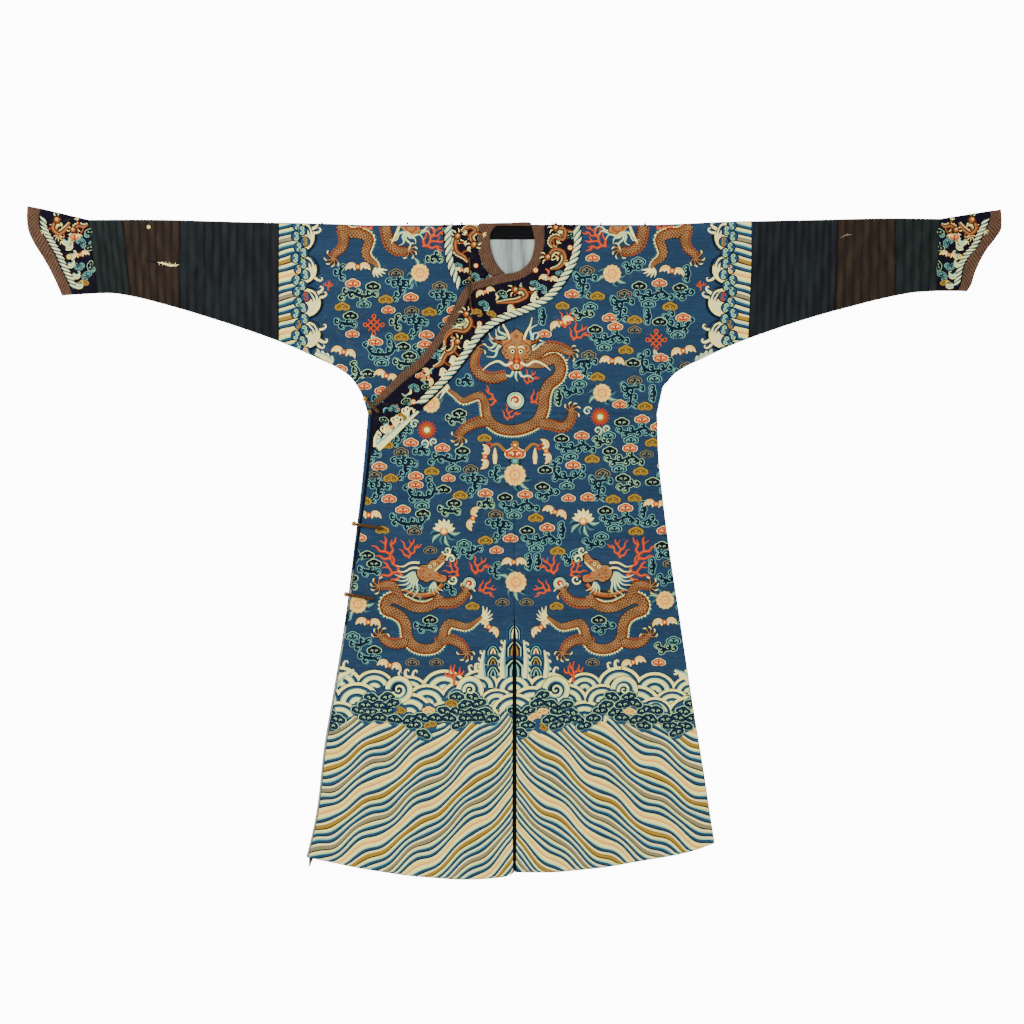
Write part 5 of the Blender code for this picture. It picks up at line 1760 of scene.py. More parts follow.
def coral_branch(cartoon, centre, size=1.0):
    """A branch of coral."""
    for stem in (
        ((0, 10), (0.5, 2), (-0.5, -4), (1, -11)), ((0.5, 4), (-4, 0), (-5, -6)),
        ((0, 1), (5, -2), (6, -8)),
        ((-0.5, -3), (-3, -6), (-3, -10)), ((4, -2), (8, -1), (10, -5)), ((-3, 1), (-8, 0), (-9, -4)),
    ):
        cartoon.ribbon(
            moved(stem, centre, 0, size), np.array((1.4, 1.3, 0.5)) * size, ("coral", "salmon", "coral"), 4,
            2
        )
    cartoon.keep((centre,), 11 * size)


def chime(cartoon, centre):
    """The hanging emblem below the chest: a ruyi head with scrolls and tassels."""
    head(cartoon, centre, "coral", 0, 1.3)
    cartoon.rings(lobed(5, 0.2), ("gold", "coral", "cream"), (centre[0], centre[1] - 8), 0, 4.4, 5)
    for side in (-1, 1):
        arm = moved(((6, 3), (12, -4), (18, -9), (24, -7)), centre, 0, 1, side)
        cartoon.ribbon(arm, (1.2, 1.4, 1), ("gold", "coral", "gold"), 3)
        end = moved((25, -7), centre, 0, 1, side)
        cartoon.ribbon(coil(end, 3.6, 1.1, 200, 0.2, side), (1, 0.6), ("coral",), 4, 1.8)
        tassel = moved(((20, -5), (20, 4), (20, 11)), centre, 0, 1, side)
        cartoon.ribbon(tassel, (0.6, 2.4, 1.6), ("peach", "cream", "peach"), 4)
    cartoon.rings(lobed(7, 0.3), ("deep", "jade", "aqua"), (centre[0], centre[1] + 8), 0, 7, 3)
    for across in (-24, -10, 10, 24):
        cartoon.keep(((centre[0] + across, centre[1]),), 10)


# Where each emblem stands: across and down, then a peony's radius or a bat's turn.
PEONIES = (
    (0.5, 251, 11.5), (1.5, 358, 11), (87.5, 169, 9.5), (97.5, 50, 9.5), (-94.5, 49, 9.5),
    (-83.5, 180, 9.5), (150.5, 376, 9.5), (-156.5, 380, 9.5),
)
CHIME = (0.5, 229)
LOTUSES = ((-70.5, 307), (68.5, 297))
JEWELS = ((-87.5, 206), (85.5, 193))
KNOTS = ((-140.5, 101), (141.5, 116))
CORALS = ((-60.5, 451), (58.5, 448))
BATS = (
    (46.5, 99, -25), (97.5, 137, 5), (157.5, 47, 10), (168.5, 127, -10), (31.5, 227, 80),
    (40.5, 288, 20), (141.5, 280, 5), (-156.5, 43, 0), (-170.5, 128, 15), (-29.5, 233, 95),
    (-41.5, 294, -70), (-0.5, 338, 0), (-25.5, 403, 40), (26.5, 403, -40), (-124.5, 441, 15),
    (118.5, 438, -15), (-145.5, 291, 0), (-146, 398, 5), (150, 398, -5), (-128, 152, 20),
)


def emblems(cartoon):
    """Flowers, bats, jewels, knots and coral between the dragons."""
    for emblem, rows in (
        (peony, PEONIES), (lotus, LOTUSES), (jewel, JEWELS), (knot, KNOTS), (
            coral_branch, CORALS
        ), (bat, BATS)
    ):
        for across, down, *more in rows:
            emblem(cartoon, (across, down), *more)
    chime(cartoon, CHIME)


# ---- bands, ropes and small figures -------------------------------------------------------


# Waves that break inwards on the sleeve's band: across, down, radius and height to width, and
# the turns of the spray on each.
BREAKERS = ((214, 13, 17, 1.06), (213, 46, 18.5, 0.92), (209, 79, 18.5, 0.92), (209, 111, 18, 0.9))
BREAKER_CUTS = (0, 6, 12, 15, 18)
BREAKER_SPRAY = ((196, 214), (150,), (200, 218), (142, 160, 200))
BREAKER_SLITS = ((0.44, 100, 176), (0.64, 108, 170), (0.83, 118, 168))

# Slanting bars outside the waves: how many, their pitch and slope, their two ends, and their dyes.
BARS, BAR_PITCH, BAR_SLOPE, BAR_ENDS = 22, 7.1, 0.27, (236.5, 216)
BAR_STRIPES = (6, 1, 4, 3, 2, 7, 0, 5)
BAND_BILLOWS, BAND_BILLOW_STEP = 26, 5.5


def billow(cartoon, centre, turn, level, dye_name="celadon"):
    """A small rolling wave: two facing spirals on a dark oval."""
    cartoon.rings(circle(12), ("deep", "blue"), centre, turn, 5.6, level, (1, 0.8, 0))
    for side in (-1, 1):
        middle = moved((0.2, 2.2 * side), centre, turn)
        curve = coil(middle, 2.5, 1.25, 180 - turn - 90 * side, 0.2, side)
        cartoon.ribbon(curve, (0.55, 0.62, 0.45), (dye_name, dye_name), level + 2, 1.4)


def sleeve_end(cartoon):
    """The band at the end of an upper sleeve: slanting bars, billows and waves breaking inwards."""
    for place, (across, down, radius, squash) in enumerate(BREAKERS):
        names = ("cream", "foam", "cream", "deep")
        radii = np.array(BREAKER_CUTS) * radius / BREAKER_CUTS[-1]
        cartoon.arcs((across, down), radii, 84, 276, names, 4 + 2 * (place % 2), squash, 15)
        for share, first, last in BREAKER_SLITS:
            angle = np.radians(np.linspace(first, last, 7))
            reach = share * radius * (1 + 0.1 * np.linspace(1, -1, 7))
            slit = np.column_stack((across + reach * np.cos(angle), down - squash * reach * np.sin(angle)))
            cartoon.ribbon(slit, (0.2, 0.9, 1.1, 0.7, 0.15), ("deep", "blue"), 9, 1.6)
        spray(cartoon, (across, down), radius - 1, BREAKER_SPRAY[place], 10)
    foam(cartoon, ((199, 129), (190, 132.5), (181, 138)), (2, 3.6, 2.4), 8, 4.6, 1)
    reach = np.linspace(*BAR_ENDS, 9)[:, None]
    cuts = np.array(STRIPE_CUTS)[None, :]
    lifts = lift_of(11) + 0.12 * np.sin(math.pi * cuts)
    for number in range(BARS):
        names = STRIPES[BAR_STRIPES[number % 8]]
        down = BAR_PITCH * (number - 1 + cuts) - BAR_SLOPE * (BAR_ENDS[0] - reach)
        down = down + 0.3 * np.sin(reach / 4 + number)
        across = np.broadcast_to(reach, down.shape)
        cartoon.grid(np.stack((across, down), axis=2), lifts, colours(names))
    for place in range(BAND_BILLOWS):
        across = 217.2 - 6.6 * (place % 2) + 1.8 * math.sin(1.3 * place) - 0.02 * place
        spot = (across, 1.5 + BAND_BILLOW_STEP * place)
        dye_name = "celadon" if place % 5 != 3 else ("gold", "coral", "peach")[place % 3]
        billow(cartoon, spot, 24 * math.sin(3.1 * place), 14 + 3 * (place % 2), dye_name)
    coral_branch(cartoon, (186, 62), 0.5)
    cartoon.keep(((206, 0), (206, 130)), 24)


ROPE = {
    "left": ((-65.5, 1), (-66.3, 19), (-63, 42.3), (-54.7, 62.2)),
    "right": (
        (62.2, 2.5), (63, 19), (59.7, 34), (48.1, 55.6), (34.9, 72.2), (11.5, 85.5), (-14.9, 95.4),
        (-31.5, 107), (-48.1, 128.6), (-64.6, 150), (-84.5, 170), (-94.5, 180),
    ),
}


# A strand of rope: shares of the half width across it and of the pitch along it.
STRAND = ((-1, -1), (-0.6, -0.45), (0, 0), (0.6, 0.45), (1, 1))


def rope(cartoon, path, half=3.7, level=5, pitch=6.4):
    """A twisted rope: long pale strands that slant across a dark core, each like a leaf."""
    cartoon.ribbon(path, 0.92 * half, ("deep", "teal", "teal", "deep"), level)
    width = np.array((0.2, 1.4, 1.85, 1.4, 0.2)) * pitch / 6.4
    for spot, normal in in_steps(path, pitch):
        forward = np.array((normal[1], -normal[0]))
        strand = [spot + normal * half * cut + forward * pitch * 0.92 * lean for cut, lean in STRAND]
        cartoon.ribbon(strand, width, ("aqua", "foam", "cream", "foam"), level + 3, 1.8)


def small_dragon(cartoon, path, turn, size=1.0):
    """A small running dragon: scaled body, cream crest, four clawed legs, and a side face."""
    half = np.array((2.6, 3, 2.8, 2.4, 0.9)) * size
    cartoon.teeth(path, half - 0.3, 1.6, ("cream",), 4, 1.8, 1)
    cartoon.ribbon(path, half, ("umber", "orange", "tawny", "umber", "tawny"), 5, 1.5)
    spots = trace(path, (0.22, 0.42, 0.66))
    for place, (spot, normal) in enumerate(zip(spots, beside(spots))):
        side = 1 if place % 2 else -1
        outwards = math.degrees(math.atan2(normal[1] * side, normal[0] * side))
        end = spot + normal * side * 7.5 * size + np.array((1.5, 1))
        cartoon.ribbon(
            (spot, spot + normal * side * 4 * size, end), (1.6, 1.3, 0.9), ("umber", "orange"), 5, 1.8
        )
        for angle in (-50, 0, 50):
            toe = moved(((0, 0), (2.2, 0.4), (3.4, 1.4)), end, outwards + angle, size)
            cartoon.ribbon(toe, (0.7, 0.5, 0.2), ("cream",), 6, 1.4)
    nose = np.asarray(path[0], dtype=float)
    cartoon.rings(lobed(6, 0.2), ("umber", "orange", "tawny"), nose, turn, 4.6 * size, 7)
    cartoon.rings(circle(8), ("cream", "midnight"), nose + (0.6, -0.8), 0, 1.2 * size, 9, (1, 0.5, 0))
    for angle in (-60, -15, 30, 150, 190):
        line = moved(((3, 0), (5.5, 0.8), (8, -0.8)), nose, turn + angle, size)
        cartoon.ribbon(line, (0.6, 0.6, 0.2), ("cream",), 6, 1.6)


def small_pearl(cartoon, centre, size):
    """A pearl of coral rings round a pale and a dark one."""
    cartoon.rings(circle(12), ("coral", "peach", "cream", "deep"), centre, 0, size, 5)


def hooks_of_foam(cartoon, rows, line, shift, half, names):
    """Pairs of foam hooks: a row gives the place and turn of one, and a shift leads to its twin."""
    for centre, turn in rows:
        for move in (0, 1):
            spot = np.array(centre) + move * np.array(shift)
            cartoon.ribbon(moved(line, spot, turn), half, names, 5, 1.6)


def small_cloud(cartoon, centre, dye_name, turn=0.0, size=0.7):
    """A small cloud: a ruyi head and its curling tail."""
    edge = {"coral": "peach", "aqua": "aqua", "gold": "gold"}.get(dye_name, "aqua")
    tail = moved(coil((5, 4), 4.5, 0.9, 200, 0.2), centre, turn, size)
    cartoon.ribbon(tail, (0.6, 1.2, 0.8), (edge, "deep", edge), 2, 2)
    head(cartoon, centre, dye_name, turn, size)


# ---- collar and cuffs ---------------------------------------------------------------------

COLLAR_DRAGONS = (
    (((33, 33.5), (40, 26), (48, 28), (50.5, 35), (45.5, 43), (36, 46)), 190),
    (((41, 4), (50, 6), (48.5, 15.5), (39.5, 13.5), (35.5, 19), (40, 24)), 200),
    (((0.5, 66), (9, 66), (12.5, 71), (4, 77), (-7, 78.5), (-18, 79.5)), 185),
    (((-48.3, 90.5), (-43.3, 98), (-49, 107.3), (-61, 107), (-68, 113), (-69, 122)), -100),
    (((-57, 118), (-62, 128), (-68, 131), (-73, 140), (-81, 144)), -80),
)
COLLAR_CLOUDS = (
    (20.5, 60, "aqua"), (-30.8, 80, "aqua"), (-23, 90, "gold"), (55, 11, "navy"), (27.5, 64, "aqua"),
    (-13, 69.5, "navy"), (-100.8, 163, "aqua"), (-108.5, 177, "navy"), (-121, 184, "aqua"),
    (-130, 196, "navy"), (-94, 152, "coral"), (-54, 98, "navy"), (-78, 132, "aqua"),
    (-113, 192, "gold"), (-88, 163, "navy"), (46, 50, "aqua"), (-38, 88, "gold"),
)
COLLAR_BATS = ((34.3, 54.8, 10), (-29.5, 68.3, -20), (-86, 153, 70), (-122, 203, -40))
COLLAR_PEARLS = ((21.1, 46.5), (-1, 87), (-35, 100), (-101, 178), (-60, 140), (55.5, 24))
INNER_CLOUDS = ((-40, 52, "aqua"), (-47, 58.5, "navy"), (-67, 6, "aqua"), (-57, 42, "aqua"))
CUFF_CLOUDS = (
    (431.5, 19, "aqua", -70), (424.5, 24, "navy", 200), (436.5, 43, "aqua", 150), (427.5, 51, "aqua", 20),
    (424, 42, "navy", 80), (439.5, 13, "coral", 0), (424, 8, "navy", 0), (430.5, 59, "gold", 0),
)
COLLAR_HOOKS = (
    ((15, 76), -50), ((-8, 87.5), -60), ((-40, 107), -40), ((-52, 122), -45),
    ((-66, 137), -40), ((-76, 150), -50), ((52, 44), -110),
)
CUFF_HOOKS = (
    ((448, 22), 190), ((444.5, 31), 200), ((441, 50), 180), ((438, 60), 185),
    ((446, 40), 200), ((451, 16), 170),
)
COLLAR_MIDDLE = (
    (44, 2), (38, 40), (22, 54), (-24, 74), (-60, 100), (-84, 140), (-132, 188),
)
COLLAR_LEAVES = (("coral", "salmon"), ("teal", "aqua"), ("peach", "cream"), ("blue", "celadon"))


def collar_cartoon():
    """Small dragons, clouds, bats and pearls of the collar, and the rope along its outer edge."""
    cartoon = Cartoon()
    rope(cartoon, ROPE["right"], 3.5, 6)
    border = ((-96, 187.5), (-111, 200.5), (-125, 213), (-137.5, 223.5))
    foam(cartoon, border, (1.2, 2.4, 3.6, 4.8), 5, 7, 1)
    foam(cartoon, ((-138.5, 223), (-138.5, 214), (-136, 206.5)), (2.6, 2, 0.6), 5, 4.2, 1)
    for spot in ((-127.5, 209), (-117, 200), (-106.5, 191)):
        spray(cartoon, spot, 2, (-150, -110, -70), 6)
    line = ((0, 3), (3, 1), (6, -0.5), (7.5, 1.8), (6, 3.2))
    hooks_of_foam(cartoon, COLLAR_HOOKS, line, (2.04, 2.04), (1.6, 1.4, 1, 0.4), ("foam", "cream"))
    for path, turn in COLLAR_DRAGONS:
        small_dragon(cartoon, path, turn)
    for across, down, dye_name in COLLAR_CLOUDS:
        small_cloud(cartoon, (across, down), dye_name, 20 * math.sin(across), 0.62)
    for across, down, turn in COLLAR_BATS:
        bat(cartoon, (across, down), turn, 0.78)
    for centre in COLLAR_PEARLS:
        small_pearl(cartoon, centre, 2.9)
    for place, spot in enumerate(trace(COLLAR_MIDDLE, (np.arange(26) + 0.5) / 26)):
        spot = spot + 3.4 * np.array((math.cos(2.4 * place), math.sin(2.4 * place))) + (3, 3)
        leaf = moved(((-3, 0), (0, 1.6), (3.4, -0.6)), spot, 63 * place)
        cartoon.ribbon(leaf, (0.5, 1.5, 0.4), COLLAR_LEAVES[place % 4], 3, 1.8)
    return cartoon


def inner_collar_cartoon():
    """The same on the under flap's side of the neck."""
    cartoon = Cartoon()
    rope(cartoon, ROPE["left"], 3.3, 6)
    small_dragon(cartoon, ((-40.8, 21), (-44, 12), (-38.5, 6), (-46, 3.5), (-53, 8)), 200)
    small_dragon(cartoon, ((-57, 12.5), (-59.5, 20), (-57.5, 28), (-50, 33), (-46, 38)), 250)
    for across, down, dye_name in INNER_CLOUDS:
        small_cloud(cartoon, (across, down), dye_name, 0, 0.6)
    bat(cartoon, (-52, 46.5), 10, 0.72)
    small_pearl(cartoon, (-38.5, 42), 2.6)
    return cartoon


def cuff_cartoon(side):
    """Part of a dragon, clouds, a bat and foam on a cuff, and a rope beside its edging."""
    cartoon = Cartoon()
    cartoon.flip = SIDES[side]
    edge = trace(CUFF_INNER[side], np.linspace(0.1, 0.93, 12)) / SQUARE
    rope(cartoon, edge - (4.4, 0), 3, 5, 4.4)
    small_dragon(cartoon, ((457, -4), (461, 4), (455, 10), (449, 6), (444, -1)), 100, 1.1)
    small_dragon(cartoon, ((441, 6), (436, 2), (430, 3), (426, 0.5)), 20, 0.9)
    for turn in (-60, -20, 20, 60, 100):
        toe = moved(((0, 0), (3.6, -0.8), (6, 1)), (455, 12), turn + 60)
        cartoon.ribbon(toe, (1.2, 1, 0.3), ("umber", "orange", "cream"), 6, 1.8)
    for across, down, dye_name, turn in CUFF_CLOUDS:
        small_cloud(cartoon, (across, down), dye_name, turn, 0.66)
    bat(cartoon, (434, 31), 15, 0.74)
    line = ((0, 0), (3, -1.6), (6, -0.4), (6.4, 2), (4.6, 2.2))
    hooks_of_foam(cartoon, CUFF_HOOKS, line, (0, 2.6), (1.5, 1.3, 1, 0.4), ("cream", "aqua"))
    cartoon.rings(circle(12), ("gold", "cream", "gold"), (445, 33), 0, 3, 8)
    return cartoon


# ---- closures, tape and threads -----------------------------------------------------------


def square_to(path):
    """Two unit directions square to a line of world points and to each other, the first level."""
    forward = np.gradient(path, axis=0)
    forward /= np.linalg.norm(forward, axis=1)[:, None]
    across = np.cross(forward, (0.0, 0.0, 1.0))
    across /= np.linalg.norm(across, axis=1)[:, None]
    return across, np.cross(forward, across)


def tube_along(path, radius, sides):
    """Points and quads of a tube round a line of world points."""
    across, other = square_to(path)
    angle = 2.0 * math.pi * np.arange(sides) / sides
    ring = np.cos(angle)[None, :, None] * across[:, None] + np.sin(angle)[None, :, None] * other[:, None]
    radius = np.broadcast_to(radius, (len(path),))
    points = path[:, None] + ring * radius[:, None, None]
    return points.reshape(-1, 3), quads_of(len(path), sides, closed=True)


def together(name, parts, material):
    """One piece from several sets of points and quads."""
    first = np.cumsum([0] + [len(points) for points, _ in parts[:-1]])
    points = np.vstack([points for points, _ in parts])
    faces = np.vstack([faces + start for start, (_, faces) in zip(first, parts)])
    piece = mesh_piece(name, points, faces)
    piece.data.materials.append(finish_of(material))
    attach(piece, "root")
    return piece


CORD_SHOWN = 1.7
TWIST, BRAID_STEP = 0.0052, 0.0007


def braid(name, path, radius):
    """A cord of three strands twisted round each other along world points, in metres."""
    run = np.concatenate(([0.0], np.cumsum(np.linalg.norm(np.diff(path, axis=0), axis=1))))
    count = max(16, int(run[-1] / BRAID_STEP))
    at = np.linspace(0.0, run[-1], count)
    middle = np.column_stack([np.interp(at, run, column) for column in path.T])
    across, other = square_to(middle)
    ends = np.clip(np.minimum(at, run[-1] - at) / (1.2 * radius), 0.0, 1.0) ** 0.5
    parts = []
    for strand in range(3):
        angle = 2.0 * math.pi * (at / TWIST + strand / 3.0)
        offset = np.cos(angle)[:, None] * across + np.sin(angle)[:, None] * other
        thick = radius * np.maximum(0.54 * ends, 0.05)
        parts.append(tube_along(middle + offset * radius * 0.46 * ends[:, None], thick, 6))
    return together(name, parts, "cord_silk")


def stands_for(node):
    """Hides the part of a closure's node, whose place its new piece takes."""
    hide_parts(node)


def boss(centre, radius, lobes=8):
    """A ball button: lobes round its waist, a flattened foot and a small crown."""
    rise = np.linspace(-0.5 * math.pi, 0.5 * math.pi, 15)[:, None]
    turn = 2.0 * math.pi * np.arange(24)[None, :] / 24
    swell = radius * (0.955 + 0.045 * np.cos(lobes * turn) * np.cos(rise) ** 2)
    waist = swell * np.cos(rise)
    points = np.stack((waist * np.cos(turn), waist * np.sin(turn), swell * np.sin(rise)), axis=2)
    return points.reshape(-1, 3) + np.asarray(centre), quads_of(15, 24, closed=True)


class ROBE_OT_closures(bpy.types.Operator):
    """Makes the ball buttons and braided cords of the side edge and the toggle at the neck"""

    bl_idname = "robe.closures"
    bl_label = "Closures"

    def execute(self, context):
        for number, (across, down, height, radius, near, far) in enumerate(BUTTONS, start=1):
            flat = mixed(np.array((across + 0.4 * radius, near[1])), np.array(far), steps(16)[:, None])
            rest = outer_height(flat) + CLOTH + 0.75 + CORD_RADIUS
            rest = rest + (FACING + LAYER_GAP if number == 1 else 0.0)
            cord = braid(f"side_cord_{number}_braid", placed(flat, rest), CORD_RADIUS * MM * CORD_SHOWN)
            stands_for(f"side_cord_{number}")
            centre = placed(np.array(((across, down),)), np.array((height,)))[0]
            ball = together(f"side_button_{number}_boss", (boss(centre, 1.15 * radius * MM),), "gilt")
            stands_for(f"side_button_{number}")
        across, down, radius = TOGGLE_KNOT
        knot = np.array(((across, down),))
        on_collar = CLOTH + LAYER_GAP + 0.5
        clear = radius + 0.4
        above = mixed(np.array(TOGGLE_STRAP[0]), np.array((across, down - clear)), steps(8)[:, None])
        below = mixed(np.array((across, down + clear)), np.array(TOGGLE_STRAP[1]), steps(14)[:, None])
        for name, line, rest in (
            ("neck_strap_upper", above, under_height(above) + on_collar + FACING),
            ("neck_strap_lower", below, outer_height(below) + on_collar + EDGING),
        ):
            strap = braid(f"{name}_braid", placed(line, rest + CORD_RADIUS), CORD_RADIUS * MM)
            stands_for(name)
        centre = placed(knot, under_height(knot) + on_collar + FACING + radius)[0]
        ball = together("neck_knot_boss", (boss(centre, radius * MM, 5),), "gilt")
        stands_for("neck_knot")
        return {"FINISHED"}


TUFTS = (-192.5, -107.5, -53.5, 40.5, 85.5, 129.5, 205.5)


class ROBE_OT_small_things(bpy.types.Operator):
    """Lays the hem's loose tip, a black strip of painted shade inside the vent, and loose threads on the fold
    """

    bl_idname = "robe.small_things"
    bl_label = "Small things"

    def execute(self, context):
        corners = np.array(HEM_TIP)
        shares = steps(9)
        left = mixed(corners[0], corners[3], shares[:, None])
        right = mixed(corners[1], corners[2], shares[:, None])
        patch = ruled(left, right, steps(6))
        sag = over(lambda points: 0.12 + 0.1 * np.sin(points[:, 1] / 2.0), 0.0)
        tip = shell("hem_tip_cloth", (patch,), sag, 1.1, finish_of("brocade"), patch.reshape(-1, 2) * MM)
        laid_cloth(tip, "hem_tip", "brown_brocade", (0.0102, 0.0198))
        # The vent's black strip is painted shade: it stands for the shade inside the vent's gap.
        for name, top, foot, cloth, slot in (
            ("seam_tape", 136.0, 822.0, "ground", "blue_tapestry"),
            ("vent_shade_strip", 822.0, 1381.0, "black", "black_silk"),
        ):
            across, down = np.meshgrid(np.linspace(-9.0, 9.0, 5), np.linspace(top, foot, 60))
            strip = np.stack((across, down), axis=2).reshape(-1, 2)
            points = placed(strip, np.full(len(strip), BACK_TOP - 0.35))
            tape_and_shade_strip = mesh_piece(name, points, facing_up(points, quads_of(60, 5)))
            tape_and_shade_strip.data.materials.append(finish_of(cloth))
            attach(tape_and_shade_strip, "root")
        cartoon = Cartoon()
        for place, across in enumerate(TUFTS):
            for turn in (-130.0, -95.0, -60.0):
                line = moved(((0.0, 0.0), (1.0, 0.6), (2.2, -0.4)), (across, 0.4), turn + 12.0 * place)
                cartoon.ribbon(line, (0.5, 0.45, 0.15), ("umber",), 0, 1.0)
        threads = cartoon.woven("loose_threads", lambda flat: flat, flat_at(3.4))
        return {"FINISHED"}


def worn_cartoon(side):
    """Worn places on the brown sleeve lengths: a round hole and a frayed tear that show lining."""
    cartoon = Cartoon()
    if side == "right":
        cartoon.rings(lobed(7, 0.1), ("umber", "taupe", "cream", "cream"), (-365.5, 3.2), 10.0, 3.1, 0)
        slit = ((-369.0, 35.5), (-362.0, 37.5), (-354.0, 38.5))
        cartoon.ribbon(slit, (0.3, 0.9, 0.8), ("umber", "midnight"), 0, 2.0)
        tear = ((-356.5, 38.6), (-350.0, 39.6), (-344.0, 41.4), (-335.0, 41.0))
        cartoon.ribbon(tear, (0.4, 2.0, 2.2, 0.3), ("umber", "taupe", "cream", "foam", "umber"), 1, 1.6)
        for place in range(9):
            start = np.array((-355.0 + 2.2 * place, 39.0 + 0.25 * place))
            end = start + (1.4 * math.sin(2.1 * place), 2.4 - 4.2 * (place % 2))
            cartoon.ribbon(
                (start, mixed(start, end, 0.5) + (0.3, 0.0), end), (0.3, 0.25, 0.1), ("foam",), 3, 1.0
            )
    else:
        cartoon.rings(lobed(6, 0.15), ("umber", "taupe", "umber"), (332.5, 11.0), 0.0, 1.6, 0)
        cartoon.ribbon(((326.0, 14.0), (331.0, 11.5), (337.0, 11.0)), (0.2, 0.4, 0.2), ("taupe",), 1, 1.6)
    return cartoon


# ---- sizes, dyes and operators ------------------------------------------------------------


def colour_property(name, description, default):
    """A colour that a user may change."""
    return bpy.props.FloatVectorProperty(
        name=name, description=description, subtype="COLOR", size=3, min=0.0, max=1.0, default=default
    )


def length_property(name, description, default, low, high):
    """A length that a user may change, in metres."""
    return bpy.props.FloatProperty(
        name=name, description=description, default=default, min=low, max=high,
        subtype="DISTANCE", unit="LENGTH", precision=5,
    )


class RobeDyes(bpy.types.PropertyGroup):
    """Colours of the robe's plain cloths."""

    ground: colour_property("Ground", "Blue ground of the tapestry", DYES["ground"])
    midnight: colour_property("Midnight", "Near-black ground of the collar and cuffs", DYES["midnight"])


class RobeSizes(bpy.types.PropertyGroup):
    """Sizes of the robe's weave and figures."""

    thread: length_property("Thread", "Pitch of the tapestry's weft", 0.0009, 0.0003, 0.004)
    fret: length_property("Fret", "Pitch of the brocade's slanting lines", 0.0046, 0.002, 0.02)
    rib: length_property("Rib", "Height of the sleeves' ribs", 0.0011, 0.0, 0.002)


class ROBE_OT_backs(bpy.types.Operator):
    """Lays the two back halves with their upper sleeves, flat on the table"""

    bl_idname = "robe.backs"
    bl_label = "Backs"

    def execute(self, context):
        for side in SIDES:
            name = f"{side}_back"
            piece = shell(
                f"{name}_cloth", back_patches(side), flat_at(0.3), CLOTH - 0.45, finish_of("ground")
            )
            laid_cloth(piece, name, "blue_tapestry", (0.55, 1.41))
        return {"FINISHED"}


class ROBE_OT_fronts(bpy.types.Operator):
    """Lays the under flap, the left front and the outer flap with its binding"""

    bl_idname = "robe.fronts"
    bl_label = "Fronts"

    def execute(self, context):
        ground = finish_of("ground")
        rows, body, sleeve, skirt = steps(80), steps(70), steps(40), steps(190)
        patches = (
            yoke_patch("left", 0.04, rows, body),
            sleeve_patch("left", rows, sleeve),
            skirt_patch("left", body, vent_edge, lambda down: read(SIDE_EDGE["left"], down), skirt),
        )
        piece = shell("left_front_cloth", patches, outer_height, CLOTH, ground)
        laid_cloth(piece, "left_front", "blue_tapestry", (0.53, 1.4))
        few = steps(30)
        patches = (
            yoke_patch("right", -UNDER_FLAP_STOP, rows, few),
            sleeve_patch("right", rows, sleeve),
            skirt_patch(
                "right",
                few,
                lambda down: np.full_like(down, -UNDER_FLAP_STOP),
                lambda down: read(SIDE_EDGE["right"], down),
                steps(60),
            ),
        )
        patches[2][-1, :, 1] -= 3.0
        piece = shell("under_flap_cloth", patches, under_height, CLOTH, ground)
        laid_cloth(piece, "under_flap", "blue_tapestry", (0.49, 1.4))
        outermost = UNDERARM_REACH["right"] - flap_inset(UNDERARM_DOWN)
        reach = np.linspace(0.04, outermost, 72)
        top = np.interp(-reach, *np.array(FLAP_EDGE).T)
        down = mixed(top[None, :], UNDERARM_DOWN, steps(50)[:, None])
        upper = np.stack((np.broadcast_to(-reach[None, :], down.shape), down), axis=2)
        lower = skirt_patch(
            "right",
            (reach - reach[0]) / (reach[-1] - reach[0]),
            vent_edge,
            lambda down: read(SIDE_EDGE["right"], down) - flap_inset(down),
            skirt,
        )
        piece = shell("outer_flap_cloth", (upper, lower), outer_height, CLOTH, ground)
        laid_cloth(piece, "outer_flap", "blue_tapestry", (0.44, 1.29))
        inner = np.vstack(((-reach[-1], top[-1]), lower[:, -1])) - (SEAM_GAP, 0.0)
        width = np.interp(inner[:, 1], *np.array(FLAP_SIDE)[:, (0, 2)].T)[:, None]
        patch = ruled(inner, inner - width * (1.0, 0.0), steps(4))
        piece = shell("outer_flap_binding_silk", (patch,), outer_height, CLOTH + 0.2, finish_of("binding"))
        laid_cloth(piece, "outer_flap_binding", "black_silk", (0.011, 1.0))
        return {"FINISHED"}


class ROBE_OT_collar(bpy.types.Operator):
    """Lays the brocade edgings and tapestry facings of the neck and the outer flap's slant"""

    bl_idname = "robe.collar"
    bl_label = "Collar"

    def execute(self, context):
        rows = [(*edge[2:], *border) for edge, border in zip(OUTER_EDGING, OUTER_FACING)]
        outer = set_off((*rows, OUTER_FACING_END), COLLAR_GAP)
        strips = (
            ("collar_edging_outer", OUTER_EDGING, outer_height, EDGING, "brocade", (0.045, 0.62)),
            ("collar_edging_inner", INNER_EDGING, under_height, EDGING, "brocade", (0.05, 0.26)),
            ("collar_facing_outer", outer, outer_height, FACING, "collar", (0.09, 0.8)),
            ("collar_facing_inner", set_off(INNER_FACING, COLLAR_GAP), under_height, FACING, "collar",
             (0.075, 0.15)),
        )
        for name, table, height, thick, finish, flat in strips:
            patch, maps = strip_patch(table, 7 if thick == EDGING else 12)
            piece = shell(
                f"{name}_cloth", (patch,), over(height, CLOTH + LAYER_GAP), thick, finish_of(finish), maps
            )
            slot = "brown_brocade" if finish == "brocade" else "collar_tapestry"
            laid_cloth(piece, name, slot, flat)
        return {"FINISHED"}


